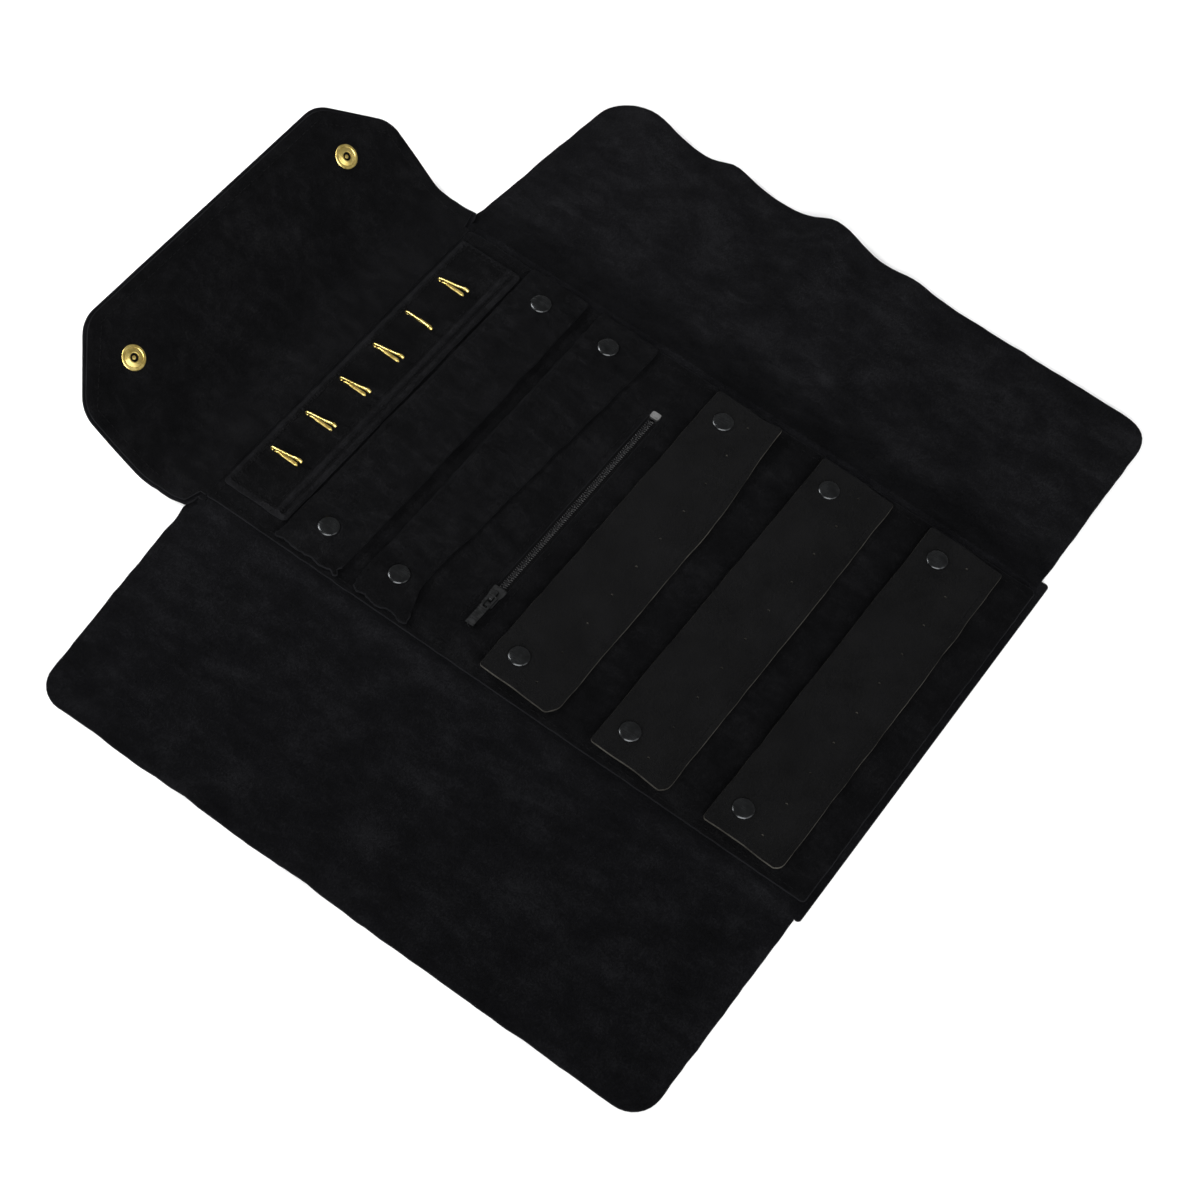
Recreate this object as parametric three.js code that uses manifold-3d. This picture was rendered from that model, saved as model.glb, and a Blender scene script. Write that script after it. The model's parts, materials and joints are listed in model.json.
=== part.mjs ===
// Folding jewelry pouch of black suede, opened out flat with its inside up.
// The centre strip folds in three panels. Side flaps close over it like doors, and a closing
// flap wraps round the folded bundle and snaps shut. Inside are necklace hooks, ring straps,
// a zipped pocket and leather earring flaps.
// Millimetres, +Z up. Pieces are laid out with y = 0 at the hem, then centred on the origin.
import * as THREE from "three";
import { mergeVertices } from "three/addons/utils/BufferGeometryUtils.js";
import Module from "manifold-3d";

const wasm = await Module();
wasm.setup();

// Sheets and the gaps between them
const coverThick = 1; // outer suede
const liningThick = 0.8; // inner suede
const pocketGap = 1.3; // between cover and lining, where the pocket is
const seatGap = 0.2; // between pieces that touch on the real pouch
const creaseGap = 0.5; // between two panels along a fold
const foldGap = 0.4; // between layers of the closed pouch
const rimWidth = 1.4; // edge of the lining that is sewn down on the cover

// Centre strip, from the hem to the closing flap
const centreWidth = 223; // from one side fold to the other
const liningWidth = 202;
const liningInset = 0.8; // lining stops this far short of a fold
const hemTurn = 3; // cover that shows past the lining at the hem and at the closing fold
const hemMargin = 19.3; // hem to the sewn edge of the nearest earring flap
const leafToHemFold = 3; // top of the lowest earring flap to the hem fold
const leafToMainFold = 6.1; // top of the highest earring flap to the main fold
const mainFoldToZip = 10;
const zipToStrap = 39.5;
const strapToPanel = 2.2; // edge of the upper strap to the hook panel
const panelToLining = 2; // top of the hook panel to the top of the lining

// Side flaps, which meet in the middle when they are closed
const flapMeetGap = 1.5;
const sideHemStep = 3.3; // side flap starts above the hem
const sideTopDrop = 1.6; // its inner top corner below the closing fold
const sideTopSlope = 10; // its outer top corner below the inner one
const sideCorner = 14;

// Closing flap, curled up at rest
const closingReach = 95.5; // from the closing fold to its end, laid flat
const closingSnapReach = 67; // from the closing fold to the brass snaps
const closingSnapSpan = 158;
const closingRoot = 222; // width at the closing fold
const closingWidest = 228;
const closingTip = 168; // width at the end
const closingCorner = 10;
const closingLiningInset = 1.5;
const neckTilt = THREE.MathUtils.degToRad(10.5);
const endTilt = THREE.MathUtils.degToRad(26.5);

// Snaps: a cap and socket riveted through one sheet, a stud riveted through the other
const snapSpan = 166; // between the two snaps of a strap or an earring flap
const capRadius = 5.2;
const brassRadius = 6.2;
const capHeight = 1.1;
const socketRadius = 3.9;
const socketHeight = 1.3;
const recessDepth = 1;
const recessClearance = 0.4;
const ballRadius = 1.9;
const ballHeight = 1;
const studFlangeRadius = 3.6;
const studFlange = 0.35;
const rivetRadius = 1.2;
const rivetClearance = 0.3;
const rivetFlange = 0.4;
const capDome = [[1, 0.35], [0.8, 0.75], [0.45, 0.95]]; // shares of its radius and height
const ballCurve = [[0.85, 0], [1, 0.5], [1, 0.75], [0.85, 1]]; // shares of its radius and height
const capSides = 18;
const studSides = 12;

// Earring flaps
const leafCount = 3;
const leafPitch = 60.7;
const leafWidth = 195;
const leafHeight = 40.5;
const leafThick = 1.2;
const leafSewnWidth = 5;
const leafRamp = 8;
const leafSnapHeight = 28.8; // from the sewn edge to the snaps
const leafHoleHeight = 15.2; // from the sewn edge to the earring holes
const leafHoleCount = 10;
const leafHolePitch = 19.6;
const leafHoleRadius = 0.7;
const leafHemCorner = 2.5;
const leafTopCorner = 2;

// Ring straps
const strapCount = 2;
const strapPitch = 40;
const strapLength = 200;
const strapWidth = 32;
const strapThick = 1.6;
const strapBend = 3.8; // from the fixed cap's edge to the line where the strap bends
const strapCorner = 2;

// Necklace hooks
const panelWidth = 184;
const panelHeight = 35;
const panelThick = 0.8;
const panelCorner = 2;
const hookCount = 6;
const hookPitch = 25.8;
const hookLength = 15.5;
const hookRise = 4.6; // height of the open end above the leg on the panel
const hookOverhang = 2; // open end reaches past the lower leg
const hookLean = 1.2; // open end leans sideways
const hookFromTop = 5; // bend of the hook below the panel's top edge
const wireRadius = 0.6;
const hookBend = 0.9; // radius of its bends
const hookHole = 1.2; // radius of the hole in the panel for its foot
const hookSides = 8;
const hookSteps = 24;

// Zip
const zipShift = -7; // middle of the slit from the middle of the strip
const slitLength = 162;
const slitWidth = 8.8;
const tapeEnd = 4; // tape that runs on under the lining past each end of the slit
const tapeThick = 0.45;
const tapeReach = 7.4; // outer edge of the tape from the line of the zip
const tapeSplit = 0.9; // inner edge of the tape from the line of the zip
const coilHeight = 1.2;
const coilInner = 0.55; // tips of the teeth from the line of the zip
const coilOuter = 2.15;
const toothDepth = 0.6;
const toothPitch = 2.6;
const toothFoot = 1.3; // width of a tooth at its foot
const toothTip = 0.78; // and at its tip
const coilToSlitEnd = 5;
const stopLength = 4;
const stopWidth = 4.8;
const stopHeight = 1.5;
const sliderLength = 12;
const sliderWidth = 7;
const sliderPlate = 0.7;
const sliderBase = 0.28;
const sliderWaist = 0.6; // narrowing at the waist, on each side
const sliderShoulder = 2.4; // middle of the slider to where it is widest
const sliderBaseLength = 10.8;
const railLength = 9.6;
const weld = 0.1; // how far pieces of the slider run into each other
const sliderFromEnd = 24; // middle of the slider from the end of the slit
const wedgeThick = 0.6;
const wedgeLength = 4;
const bridgeLength = 6.4;
const bridgeWidth = 1.6;
const bridgeThick = 0.7;
const pullLength = 19;
const pullWidth = 4.4;
const pullThick = 0.9;
const pullEye = 7.5; // length of the opening that goes round the bridge
const pullArm = 1;
const pullClearance = 0.15;

// Heights, counted from the underside of the cover
const liningBottom = coverThick + pocketGap;
const liningTop = liningBottom + liningThick;
// from the top of a sheet with a stud to the underside of the sheet with the cap
const snapRise = studFlange + socketHeight + 3 * seatGap;
const studHeight = seatGap + studFlange + ballHeight;
const leafStack = liningTop + snapRise + leafThick + seatGap + capHeight;
const strapStack = liningTop + snapRise + strapThick + seatGap + capHeight;
const panelTop = liningTop + seatGap + panelThick;
const hookBase = panelTop + seatGap + wireRadius;
const hookStack = hookBase + hookRise + wireRadius;
const backStack = Math.max(strapStack, hookStack);
const tapeTop = liningBottom - seatGap;
const tapeBottom = tapeTop - tapeThick;
const coilBottom = tapeTop + seatGap;
const coilTop = coilBottom + coilHeight;
const sliderTop = coilTop + seatGap + sliderPlate;
const pullAxis = sliderTop + pullClearance + pullThick / 2;

// Fold axes stand at half the height of what they fold round
const closedLayer = (stack) => stack + foldGap + coverThick;
const hemFoldRise = closedLayer(leafStack) + foldGap / 2;
const mainFoldRise = (closedLayer(backStack) + foldGap) / 2 + hemFoldRise;
const closedHeight = 2 * mainFoldRise;
const neckLength = closedHeight + snapRise + seatGap + liningThick - coverThick;

// Places along the strip
const leafSeam = (row) => hemMargin + row * leafPitch;
const hemFold = leafSeam(0) + leafHeight + leafToHemFold;
const mainFold = leafSeam(leafCount - 1) + leafHeight + leafToMainFold;
const zipLine = mainFold + mainFoldToZip;
const strapLine = (row) => zipLine + zipToStrap + row * strapPitch;
const panelBottom = strapLine(strapCount - 1) + strapWidth / 2 + strapToPanel;
const panelEnd = panelBottom + panelHeight;
const liningEnd = panelEnd + panelToLining;
const closingFold = liningEnd + hemTurn;
const closingStud = 2 * mainFold - closingFold + closingSnapReach - neckLength;
const halfCrease = creaseGap / 2;
const snapX = snapSpan / 2;
const closingSnapX = closingSnapSpan / 2;
const sideWidth = (centreWidth - flapMeetGap) / 2;
const strapBendX = snapX - capRadius - strapBend;
const slitStart = zipShift - slitLength / 2;
const slitEnd = zipShift + slitLength / 2;
const coilStart = slitStart + coilToSlitEnd;
const stopStart = slitEnd - coilToSlitEnd - stopLength;
const coilEnd = stopStart - seatGap;
const sliderX = slitStart + sliderFromEnd;

// Colours and surface of each material
const finishes = {
  suede: { color: 0x17171b, roughness: 0.95, metalness: 0 },
  leather: { color: 0x222226, roughness: 0.6, metalness: 0 },
  tape: { color: 0x101012, roughness: 0.9, metalness: 0 },
  coil: { color: 0x2a2a2d, roughness: 0.45, metalness: 0 },
  gunmetal: { color: 0x3a3a3f, roughness: 0.3, metalness: 0.9 },
  brass: { color: 0xd9b45a, roughness: 0.25, metalness: 1 },
  nickel: { color: 0xc9c9cc, roughness: 0.25, metalness: 1 },
};

function place(group, name, geometry, finish, x = 0, y = 0, z = 0) {
  const mesh = new THREE.Mesh(geometry, new THREE.MeshStandardMaterial(finishes[finish]));
  mesh.name = name;
  mesh.position.set(x, y, z);
  group.add(mesh);
}

// A point on the way from one corner to the next
function partWay(from, to, distance) {
  const start = new THREE.Vector2(from[0], from[1]);
  const step = new THREE.Vector2(to[0], to[1]).sub(start).setLength(distance);
  return start.add(step);
}

// Closed outline through corners [x, y, rounding]
function outline(corners) {
  const shape = new THREE.Shape();
  corners.forEach((corner, i) => {
    const [x, y, rounding = 0] = corner;
    const before = partWay(corner, corners.at(i - 1), rounding);
    const after = partWay(corner, corners[(i + 1) % corners.length], rounding);
    if (i === 0) shape.moveTo(before.x, before.y);
    else shape.lineTo(before.x, before.y);
    if (rounding > 0) shape.quadraticCurveTo(x, y, after.x, after.y);
  });
  return shape;
}

function rectangle(x0, y0, x1, y1, lowRound = 0, highRound = lowRound) {
  return outline([
    [x0, y0, lowRound],
    [x1, y0, lowRound],
    [x1, y1, highRound],
    [x0, y1, highRound],
  ]);
}

function punch(shape, x, y, radius) {
  shape.holes.push(new THREE.Path().absarc(x, y, radius, 0, 2 * Math.PI));
}

function plate(shape, bottom, top) {
  const options = { depth: top - bottom, bevelEnabled: false, curveSegments: 5 };
  return new THREE.ExtrudeGeometry(shape, options).translate(0, 0, bottom);
}

function block(x0, x1, y0, y1, z0, z1) {
  return plate(rectangle(x0, y0, x1, y1), z0, z1);
}

// A side view [y, z] drawn as an outline and run across the pouch from x0 to x1
function across(sideView, x0, x1) {
  const turn = new THREE.Matrix4().makeBasis(
    new THREE.Vector3(0, 1, 0),
    new THREE.Vector3(0, 0, 1),
    new THREE.Vector3(1, 0, 0),
  );
  return plate(sideView, x0, x1).applyMatrix4(turn);
}

// A round piece from half of its section [radius, height]
function turned(section, sides) {
  const points = section.map(([radius, height]) => new THREE.Vector2(radius, height));
  return new THREE.LatheGeometry(points, sides).rotateX(Math.PI / 2);
}

function toSolid(geometry) {
  const bare = geometry.clone();
  bare.deleteAttribute("normal");
  bare.deleteAttribute("uv");
  const merged = mergeVertices(bare, 1e-4);
  const vertProperties = merged.attributes.position.array;
  const triVerts = new Uint32Array(merged.index.array);
  return new wasm.Manifold(new wasm.Mesh({ numProp: 3, vertProperties, triVerts }));
}

function toGeometry(solid) {
  const { vertProperties, triVerts } = solid.getMesh();
  const geometry = new THREE.BufferGeometry();
  geometry.setAttribute("position", new THREE.BufferAttribute(vertProperties, 3));
  geometry.setIndex(new THREE.BufferAttribute(triVerts, 1));
  return geometry;
}

function joined(geometries) {
  const solids = geometries.map(toSolid);
  return toGeometry(solids.reduce((whole, next) => whole.add(next)));
}

// Snaps

// Cap above a sheet, rivet through it and socket below; height 0 is the sheet's underside
function capAndSocket(sheetThick, radius, socket) {
  const recess = ballRadius + recessClearance;
  const low = -seatGap - socketHeight;
  const seat = sheetThick + seatGap;
  const section = [
    [0, low + recessDepth],
    [recess, low + recessDepth],
    [recess, low],
    [socket, low],
    [socket, -seatGap],
    [rivetRadius, -seatGap],
    [rivetRadius, seat],
    [radius, seat],
    ...capDome.map(([across, up]) => [radius * across, seat + capHeight * up]),
    [0, seat + capHeight],
  ];
  return turned(section, capSides);
}

// Stud above a sheet, riveted through it; height 0 is the sheet's upper side
function stud(sheetThick) {
  const low = -sheetThick - seatGap;
  const shoulder = seatGap + studFlange;
  const section = [
    [0, low - rivetFlange],
    [studFlangeRadius, low - rivetFlange],
    [studFlangeRadius, low],
    [rivetRadius, low],
    [rivetRadius, seatGap],
    [studFlangeRadius, seatGap],
    [studFlangeRadius, shoulder],
    ...ballCurve.map(([across, up]) => [ballRadius * across, shoulder + ballHeight * up]),
    [0, studHeight],
  ];
  return turned(section, studSides);
}

function punchRivets(shape, spanX, y) {
  punch(shape, -spanX, y, rivetRadius + rivetClearance);
  punch(shape, spanX, y, rivetRadius + rivetClearance);
}

// Outer cover and side flaps

function addCover(pouch) {
  const half = centreWidth / 2 - halfCrease;
  const hem = rectangle(-half, 0, half, hemFold - halfCrease);
  const middle = rectangle(-half, hemFold + halfCrease, half, mainFold - halfCrease);
  const back = rectangle(-half, mainFold + halfCrease, half, closingFold - halfCrease);
  punchRivets(middle, closingSnapX, closingStud);
  place(pouch, "cover_hem", plate(hem, 0, coverThick), "suede");
  place(pouch, "cover_middle", plate(middle, 0, coverThick), "suede");
  place(pouch, "cover_back", plate(back, 0, coverThick), "suede");
  for (const [side, x] of [["left", -closingSnapX], ["right", closingSnapX]]) {
    const outward = stud(coverThick).rotateX(Math.PI);
    place(pouch, `closing_stud_${side}`, outward, "brass", x, closingStud, 0);
  }
}

function addSideFlap(pouch, side, sign) {
  const fold = sign * (centreWidth / 2 + halfCrease);
  const edge = sign * (centreWidth / 2 + sideWidth);
  const innerTop = closingFold - sideTopDrop;
  const lengths = {
    hem: [
      [fold, sideHemStep],
      [edge, sideHemStep, sideCorner],
      [edge, hemFold - halfCrease],
      [fold, hemFold - halfCrease],
    ],
    middle: [
      [fold, hemFold + halfCrease],
      [edge, hemFold + halfCrease],
      [edge, mainFold - halfCrease],
      [fold, mainFold - halfCrease],
    ],
    back: [
      [fold, mainFold + halfCrease],
      [edge, mainFold + halfCrease],
      [edge, innerTop - sideTopSlope, sideCorner],
      [fold, innerTop],
    ],
  };
  for (const [panel, corners] of Object.entries(lengths)) {
    place(pouch, `${side}_flap_${panel}`, plate(outline(corners), 0, coverThick), "suede");
  }
}

// Lining, a sheet with a sewn rim that keeps the pocket open below it
function lining(y0, y1, cutHoles) {
  const half = liningWidth / 2;
  const sheet = rectangle(-half, y0, half, y1);
  cutHoles(sheet);
  const rim = rectangle(-half, y0, half, y1);
  rim.holes.push(rectangle(-half + rimWidth, y0 + rimWidth, half - rimWidth, y1 - rimWidth));
  const overlap = liningThick / 2;
  return joined([
    plate(sheet, liningBottom, liningTop),
    plate(rim, coverThick + seatGap, liningBottom + overlap),
  ]);
}

function addLining(pouch) {
  const snapLine = (row) => leafSeam(row) + leafSnapHeight;
  const hem = lining(hemTurn, hemFold - liningInset, (sheet) => {
    punchRivets(sheet, snapX, snapLine(0));
  });
  const middle = lining(hemFold + liningInset, mainFold - liningInset, (sheet) => {
    for (let row = 1; row < leafCount; row += 1) punchRivets(sheet, snapX, snapLine(row));
  });
  const back = lining(mainFold + liningInset, liningEnd, (sheet) => {
    for (let row = 0; row < strapCount; row += 1) punchRivets(sheet, snapX, strapLine(row));
    const half = slitWidth / 2;
    sheet.holes.push(rectangle(slitStart, zipLine - half, slitEnd, zipLine + half));
  });
  place(pouch, "lining_hem", hem, "suede");
  place(pouch, "lining_middle", middle, "suede");
  place(pouch, "lining_back", back, "suede");
}

// Earring flaps, hinged along their sewn edge

function earringFlap() {
  const past = 1;
  const top = leafHeight + past;
  const bend = leafSewnWidth + leafRamp;
  const sideView = outline([
    [-past, seatGap],
    [leafSewnWidth, seatGap],
    [bend, snapRise],
    [top, snapRise],
    [top, snapRise + leafThick],
    [bend, snapRise + leafThick],
    [leafSewnWidth, seatGap + leafThick],
    [-past, seatGap + leafThick],
  ]);
  const half = leafWidth / 2;
  const plan = rectangle(-half, 0, half, leafHeight, leafHemCorner, leafTopCorner);
  punchRivets(plan, snapX, leafSnapHeight);
  for (let i = 0; i < leafHoleCount; i += 1) {
    const x = (i - (leafHoleCount - 1) / 2) * leafHolePitch;
    punch(plan, x, leafHoleHeight, leafHoleRadius);
  }
  const sheet = toSolid(across(sideView, -half - past, half + past));
  const cutter = toSolid(plate(plan, 0, snapRise + leafThick + past));
  return toGeometry(sheet.intersect(cutter));
}

function addEarringFlaps(pouch) {
  for (let row = 0; row < leafCount; row += 1) {
    const flap = leafCount - row;
    const snapLine = leafSeam(row) + leafSnapHeight;
    place(pouch, `earring_flap_${flap}`, earringFlap(), "leather", 0, leafSeam(row), liningTop);
    for (const [side, x] of [["left", -snapX], ["right", snapX]]) {
      const cap = capAndSocket(leafThick, capRadius, socketRadius);
      const capName = `flap_${flap}_snap_cap_${side}`;
      place(pouch, capName, cap, "gunmetal", x, snapLine, liningTop + snapRise);
      place(pouch, `flap_${flap}_snap_stud_${side}`, stud(liningThick), "gunmetal", x, snapLine, liningTop);
    }
  }
}

// Ring straps: each opens at its left end and bends beside the fixed right-hand snap

function addRingStraps(pouch) {
  const half = strapWidth / 2;
  const end = strapLength / 2;
  const bottom = liningTop + snapRise;
  for (let row = 0; row < strapCount; row += 1) {
    const strap = strapCount - row;
    const y = strapLine(row);
    const band = rectangle(-end, y - half, strapBendX - halfCrease, y + half, strapCorner);
    const fixed = rectangle(strapBendX + halfCrease, y - half, end, y + half, strapCorner);
    punch(band, -snapX, y, rivetRadius + rivetClearance);
    punch(fixed, snapX, y, rivetRadius + rivetClearance);
    place(pouch, `ring_strap_${strap}`, plate(band, bottom, bottom + strapThick), "suede");
    place(pouch, `ring_strap_${strap}_end`, plate(fixed, bottom, bottom + strapThick), "suede");
    for (const [side, x] of [["left", -snapX], ["right", snapX]]) {
      const cap = capAndSocket(strapThick, capRadius, socketRadius);
      place(pouch, `strap_${strap}_snap_cap_${side}`, cap, "gunmetal", x, y, bottom);
      place(pouch, `strap_${strap}_snap_stud_${side}`, stud(liningThick), "gunmetal", x, y, liningTop);
    }
  }
}

// Necklace hooks of bent wire, each with its lower leg turned down through the panel

function hook() {
  const tip = hookBase + hookRise;
  const route = new THREE.CatmullRomCurve3([
    new THREE.Vector3(0, 0, panelTop - panelThick * 0.8),
    new THREE.Vector3(0, hookBend * 0.3, hookBase - hookBend * 0.4),
    new THREE.Vector3(0, hookBend * 1.4, hookBase),
    new THREE.Vector3(0, hookLength * 0.5, hookBase),
    new THREE.Vector3(0, hookLength - hookBend, hookBase),
    new THREE.Vector3(0, hookLength, hookBase + hookBend),
    new THREE.Vector3(0, hookLength - hookBend, hookBase + 2 * hookBend),
    new THREE.Vector3(hookLean * 0.5, hookLength * 0.4, hookBase + hookRise * 0.72),
    new THREE.Vector3(hookLean, 0, tip),
    new THREE.Vector3(hookLean, -hookOverhang, tip - wireRadius),
  ]);
  const wire = new THREE.Shape();
  for (let i = 0; i < hookSides; i += 1) {
    const angle = (2 * Math.PI * i) / hookSides;
    const move = i === 0 ? "moveTo" : "lineTo";
    wire[move](wireRadius * Math.cos(angle), wireRadius * Math.sin(angle));
  }
  return new THREE.ExtrudeGeometry(wire, { steps: hookSteps, extrudePath: route, bevelEnabled: false });
}

function addHooks(pouch) {
  const half = panelWidth / 2;
  const foot = panelEnd - hookFromTop - hookLength;
  const patch = rectangle(-half, panelBottom, half, panelEnd, panelCorner);
  for (let i = 0; i < hookCount; i += 1) {
    const x = (i - (hookCount - 1) / 2) * hookPitch;
    punch(patch, x, foot, hookHole);
    place(pouch, `necklace_hook_${i + 1}`, hook(), "brass", x, foot);
  }
  place(pouch, "hook_panel", plate(patch, liningTop + seatGap, panelTop), "suede");
}

// Zip

// One coil, drawn as a strip with teeth along the line of the zip
function coil(sign) {
  const corners = [
    [coilStart, sign * coilOuter],
    [coilStart, sign * (coilInner + toothDepth)],
  ];
  const teeth = Math.floor((coilEnd - coilStart) / toothPitch);
  for (let i = 0; i < teeth; i += 1) {
    const x = coilStart + toothPitch / 2 + i * toothPitch;
    corners.push([x - toothFoot / 2, sign * (coilInner + toothDepth)]);
    corners.push([x - toothTip / 2, sign * coilInner]);
    corners.push([x + toothTip / 2, sign * coilInner]);
    corners.push([x + toothFoot / 2, sign * (coilInner + toothDepth)]);
  }
  corners.push([coilEnd, sign * (coilInner + toothDepth)]);
  corners.push([coilEnd, sign * coilOuter]);
  return plate(outline(corners), coilBottom, coilTop);
}

function addZip(pouch) {
  const from = slitStart - tapeEnd;
  const to = slitEnd + tapeEnd;
  for (const [side, sign] of [["lower", -1], ["upper", 1]]) {
    const edges = [sign * tapeSplit, sign * tapeReach].sort((a, b) => a - b);
    const tape = block(from, to, edges[0], edges[1], tapeBottom, tapeTop);
    place(pouch, `zipper_tape_${side}`, tape, "tape", 0, zipLine);
    place(pouch, `zipper_coil_${side}`, coil(sign), "coil", 0, zipLine);
  }
  const stop = rectangle(stopStart, -stopWidth / 2, stopStart + stopLength, stopWidth / 2, 1);
  place(pouch, "zipper_end_stop", plate(stop, coilBottom, coilBottom + stopHeight), "nickel", 0, zipLine);
}

// Slider: two plates held together by a wedge between the coils, rails beside the coils and
// a bridge on top for the pull
function slider() {
  const end = sliderLength / 2;
  const side = sliderWidth / 2;
  const waist = side - sliderWaist;
  const top = outline([
    [-end, -waist, 1],
    [0, -waist],
    [sliderShoulder, -side],
    [end, -side, 1],
    [end, side, 1],
    [sliderShoulder, side],
    [0, waist],
    [-end, waist, 1],
  ]);
  const under = sliderTop - sliderPlate;
  const railIn = coilOuter + seatGap;
  const arch = bridgeLength / 2;
  const opening = arch - bridgeThick;
  const crown = pullAxis + pullThick / 2 + pullClearance;
  const sideView = outline([
    [-arch, sliderTop - weld],
    [-opening, sliderTop - weld],
    [-opening, crown],
    [opening, crown],
    [opening, sliderTop - weld],
    [arch, sliderTop - weld],
    [arch, crown, 0.6],
    [arch - bridgeThick, crown + bridgeThick],
    [bridgeThick - arch, crown + bridgeThick],
    [-arch, crown, 0.6],
  ]);
  const bridge = across(sideView, -bridgeWidth / 2, bridgeWidth / 2).rotateZ(-Math.PI / 2);
  const baseTop = coverThick + seatGap + sliderBase;
  const wedge = wedgeThick / 2;
  const base = sliderBaseLength / 2;
  const rail = railLength / 2;
  return joined([
    plate(top, under, sliderTop),
    block(-base, base, -waist, waist, coverThick + seatGap, baseTop),
    block(base - wedgeLength, base, -wedge, wedge, baseTop - weld, under + weld),
    block(-rail, rail, railIn, waist, coilBottom, under + weld),
    block(-rail, rail, -waist, -railIn, coilBottom, under + weld),
    bridge,
  ]);
}

// Pull tab: a frame whose cross bar lies under the bridge, free to flip from end to end
function pull() {
  const half = pullWidth / 2;
  const low = -pullThick / 2;
  const tab = rectangle(-pullLength, -half, 0, half);
  const eyeHalf = half - pullArm;
  tab.holes.push(rectangle(-pullEye, -eyeHalf, -pullThick / 4, eyeHalf));
  const bar = new THREE.CylinderGeometry(pullThick / 2, pullThick / 2, pullWidth, 12);
  return joined([plate(tab, low, low + pullThick), bar]);
}

function addSlider(pouch) {
  place(pouch, "zipper_slider", slider(), "gunmetal", sliderX, zipLine);
  place(pouch, "zipper_pull", pull(), "gunmetal", sliderX, zipLine, pullAxis);
}

// Closing flap: a neck that stands up along the closed bundle, and an end that folds over it.
// Heights here are counted from the upper side of the outer suede, where both folds lie.

function closingOutline(from, inset) {
  const reach = closingReach - neckLength;
  const root = closingRoot / 2 - inset;
  const widest = closingWidest / 2 - inset;
  const tip = closingTip / 2 - inset;
  const snapLine = closingSnapReach - neckLength;
  const shape = outline([
    [-root, from],
    [root, from],
    [widest, snapLine, closingCorner],
    [tip, reach - inset, closingCorner],
    [-tip, reach - inset, closingCorner],
    [-widest, snapLine, closingCorner],
  ]);
  punchRivets(shape, closingSnapX, snapLine);
  return shape;
}

function addClosingFlap(pouch) {
  const neck = new THREE.Group();
  neck.position.set(0, closingFold, coverThick);
  neck.rotation.x = neckTilt;
  const end = new THREE.Group();
  end.position.set(0, neckLength, 0);
  end.rotation.x = endTilt;
  neck.add(end);
  pouch.add(neck);
  const half = closingRoot / 2;
  const liningFoot = seatGap;
  const liningHead = liningFoot + liningThick;
  const liningStart = liningHead + creaseGap / 2;
  const strip = rectangle(-half, creaseGap, half, neckLength - creaseGap);
  place(neck, "closing_flap_neck", plate(strip, -coverThick, liningHead), "suede");
  place(end, "closing_flap_outer", plate(closingOutline(creaseGap, 0), -coverThick, 0), "suede");
  const inner = closingOutline(liningStart, closingLiningInset);
  place(end, "closing_flap_lining", plate(inner, liningFoot, liningHead), "suede");
  const sheets = coverThick + liningHead;
  const snapLine = closingSnapReach - neckLength;
  for (const [side, x] of [["left", -closingSnapX], ["right", closingSnapX]]) {
    const snap = capAndSocket(sheets, brassRadius, brassRadius).rotateX(Math.PI);
    place(end, `closing_snap_${side}`, snap, "brass", x, snapLine, liningHead);
  }
}

// The whole pouch, centred on its own box and standing on the studs of its outer face

const endAngle = neckTilt + endTilt;
const closingEnd = closingFold
  + neckLength * Math.cos(neckTilt)
  + (closingReach - neckLength) * Math.cos(endAngle)
  + coverThick * Math.sin(endAngle);

const pouch = new THREE.Group();
pouch.position.set(0, -closingEnd / 2, studHeight);
addCover(pouch);
addSideFlap(pouch, "left", -1);
addSideFlap(pouch, "right", 1);
addLining(pouch);
addEarringFlaps(pouch);
addRingStraps(pouch);
addHooks(pouch);
addZip(pouch);
addSlider(pouch);
addClosingFlap(pouch);

const jewelryPouch = new THREE.Group();
jewelryPouch.add(pouch);

export default jewelryPouch;
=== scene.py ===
import json
import math

import bpy
import numpy as np
from mathutils import Matrix, Vector, noise
from mathutils.geometry import delaunay_2d_cdt


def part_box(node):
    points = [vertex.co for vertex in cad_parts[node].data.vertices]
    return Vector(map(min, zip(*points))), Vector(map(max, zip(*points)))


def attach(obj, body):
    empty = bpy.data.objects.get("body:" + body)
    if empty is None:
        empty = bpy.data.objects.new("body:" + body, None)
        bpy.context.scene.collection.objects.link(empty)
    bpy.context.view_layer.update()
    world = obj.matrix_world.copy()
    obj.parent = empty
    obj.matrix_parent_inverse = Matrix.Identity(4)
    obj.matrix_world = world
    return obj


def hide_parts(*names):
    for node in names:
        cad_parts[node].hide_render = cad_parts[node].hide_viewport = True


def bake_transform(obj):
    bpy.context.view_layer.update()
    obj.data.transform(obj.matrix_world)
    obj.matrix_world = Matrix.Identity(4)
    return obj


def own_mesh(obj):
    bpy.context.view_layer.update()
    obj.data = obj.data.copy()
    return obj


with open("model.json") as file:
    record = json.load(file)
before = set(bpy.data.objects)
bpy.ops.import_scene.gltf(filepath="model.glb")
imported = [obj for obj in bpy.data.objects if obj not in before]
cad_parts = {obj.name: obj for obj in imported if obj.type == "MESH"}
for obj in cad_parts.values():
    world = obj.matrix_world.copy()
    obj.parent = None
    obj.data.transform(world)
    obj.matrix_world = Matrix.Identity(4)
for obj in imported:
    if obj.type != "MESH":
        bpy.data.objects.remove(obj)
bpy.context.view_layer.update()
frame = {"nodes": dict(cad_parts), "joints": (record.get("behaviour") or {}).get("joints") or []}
scene = bpy.context.scene
joints = {joint["name"]: joint for joint in frame["joints"]}
mm = 0.001
touching = 0.05 * mm  # edges closer than this meet
bendMargin = 1 * mm  # the finer mesh of a bend runs this much further


def pivot(name):
    return Vector(joints[name]["pos_m"])


def centreOf(node):
    return [(low + high) / 2 for low, high in zip(*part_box(node))]


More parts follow.
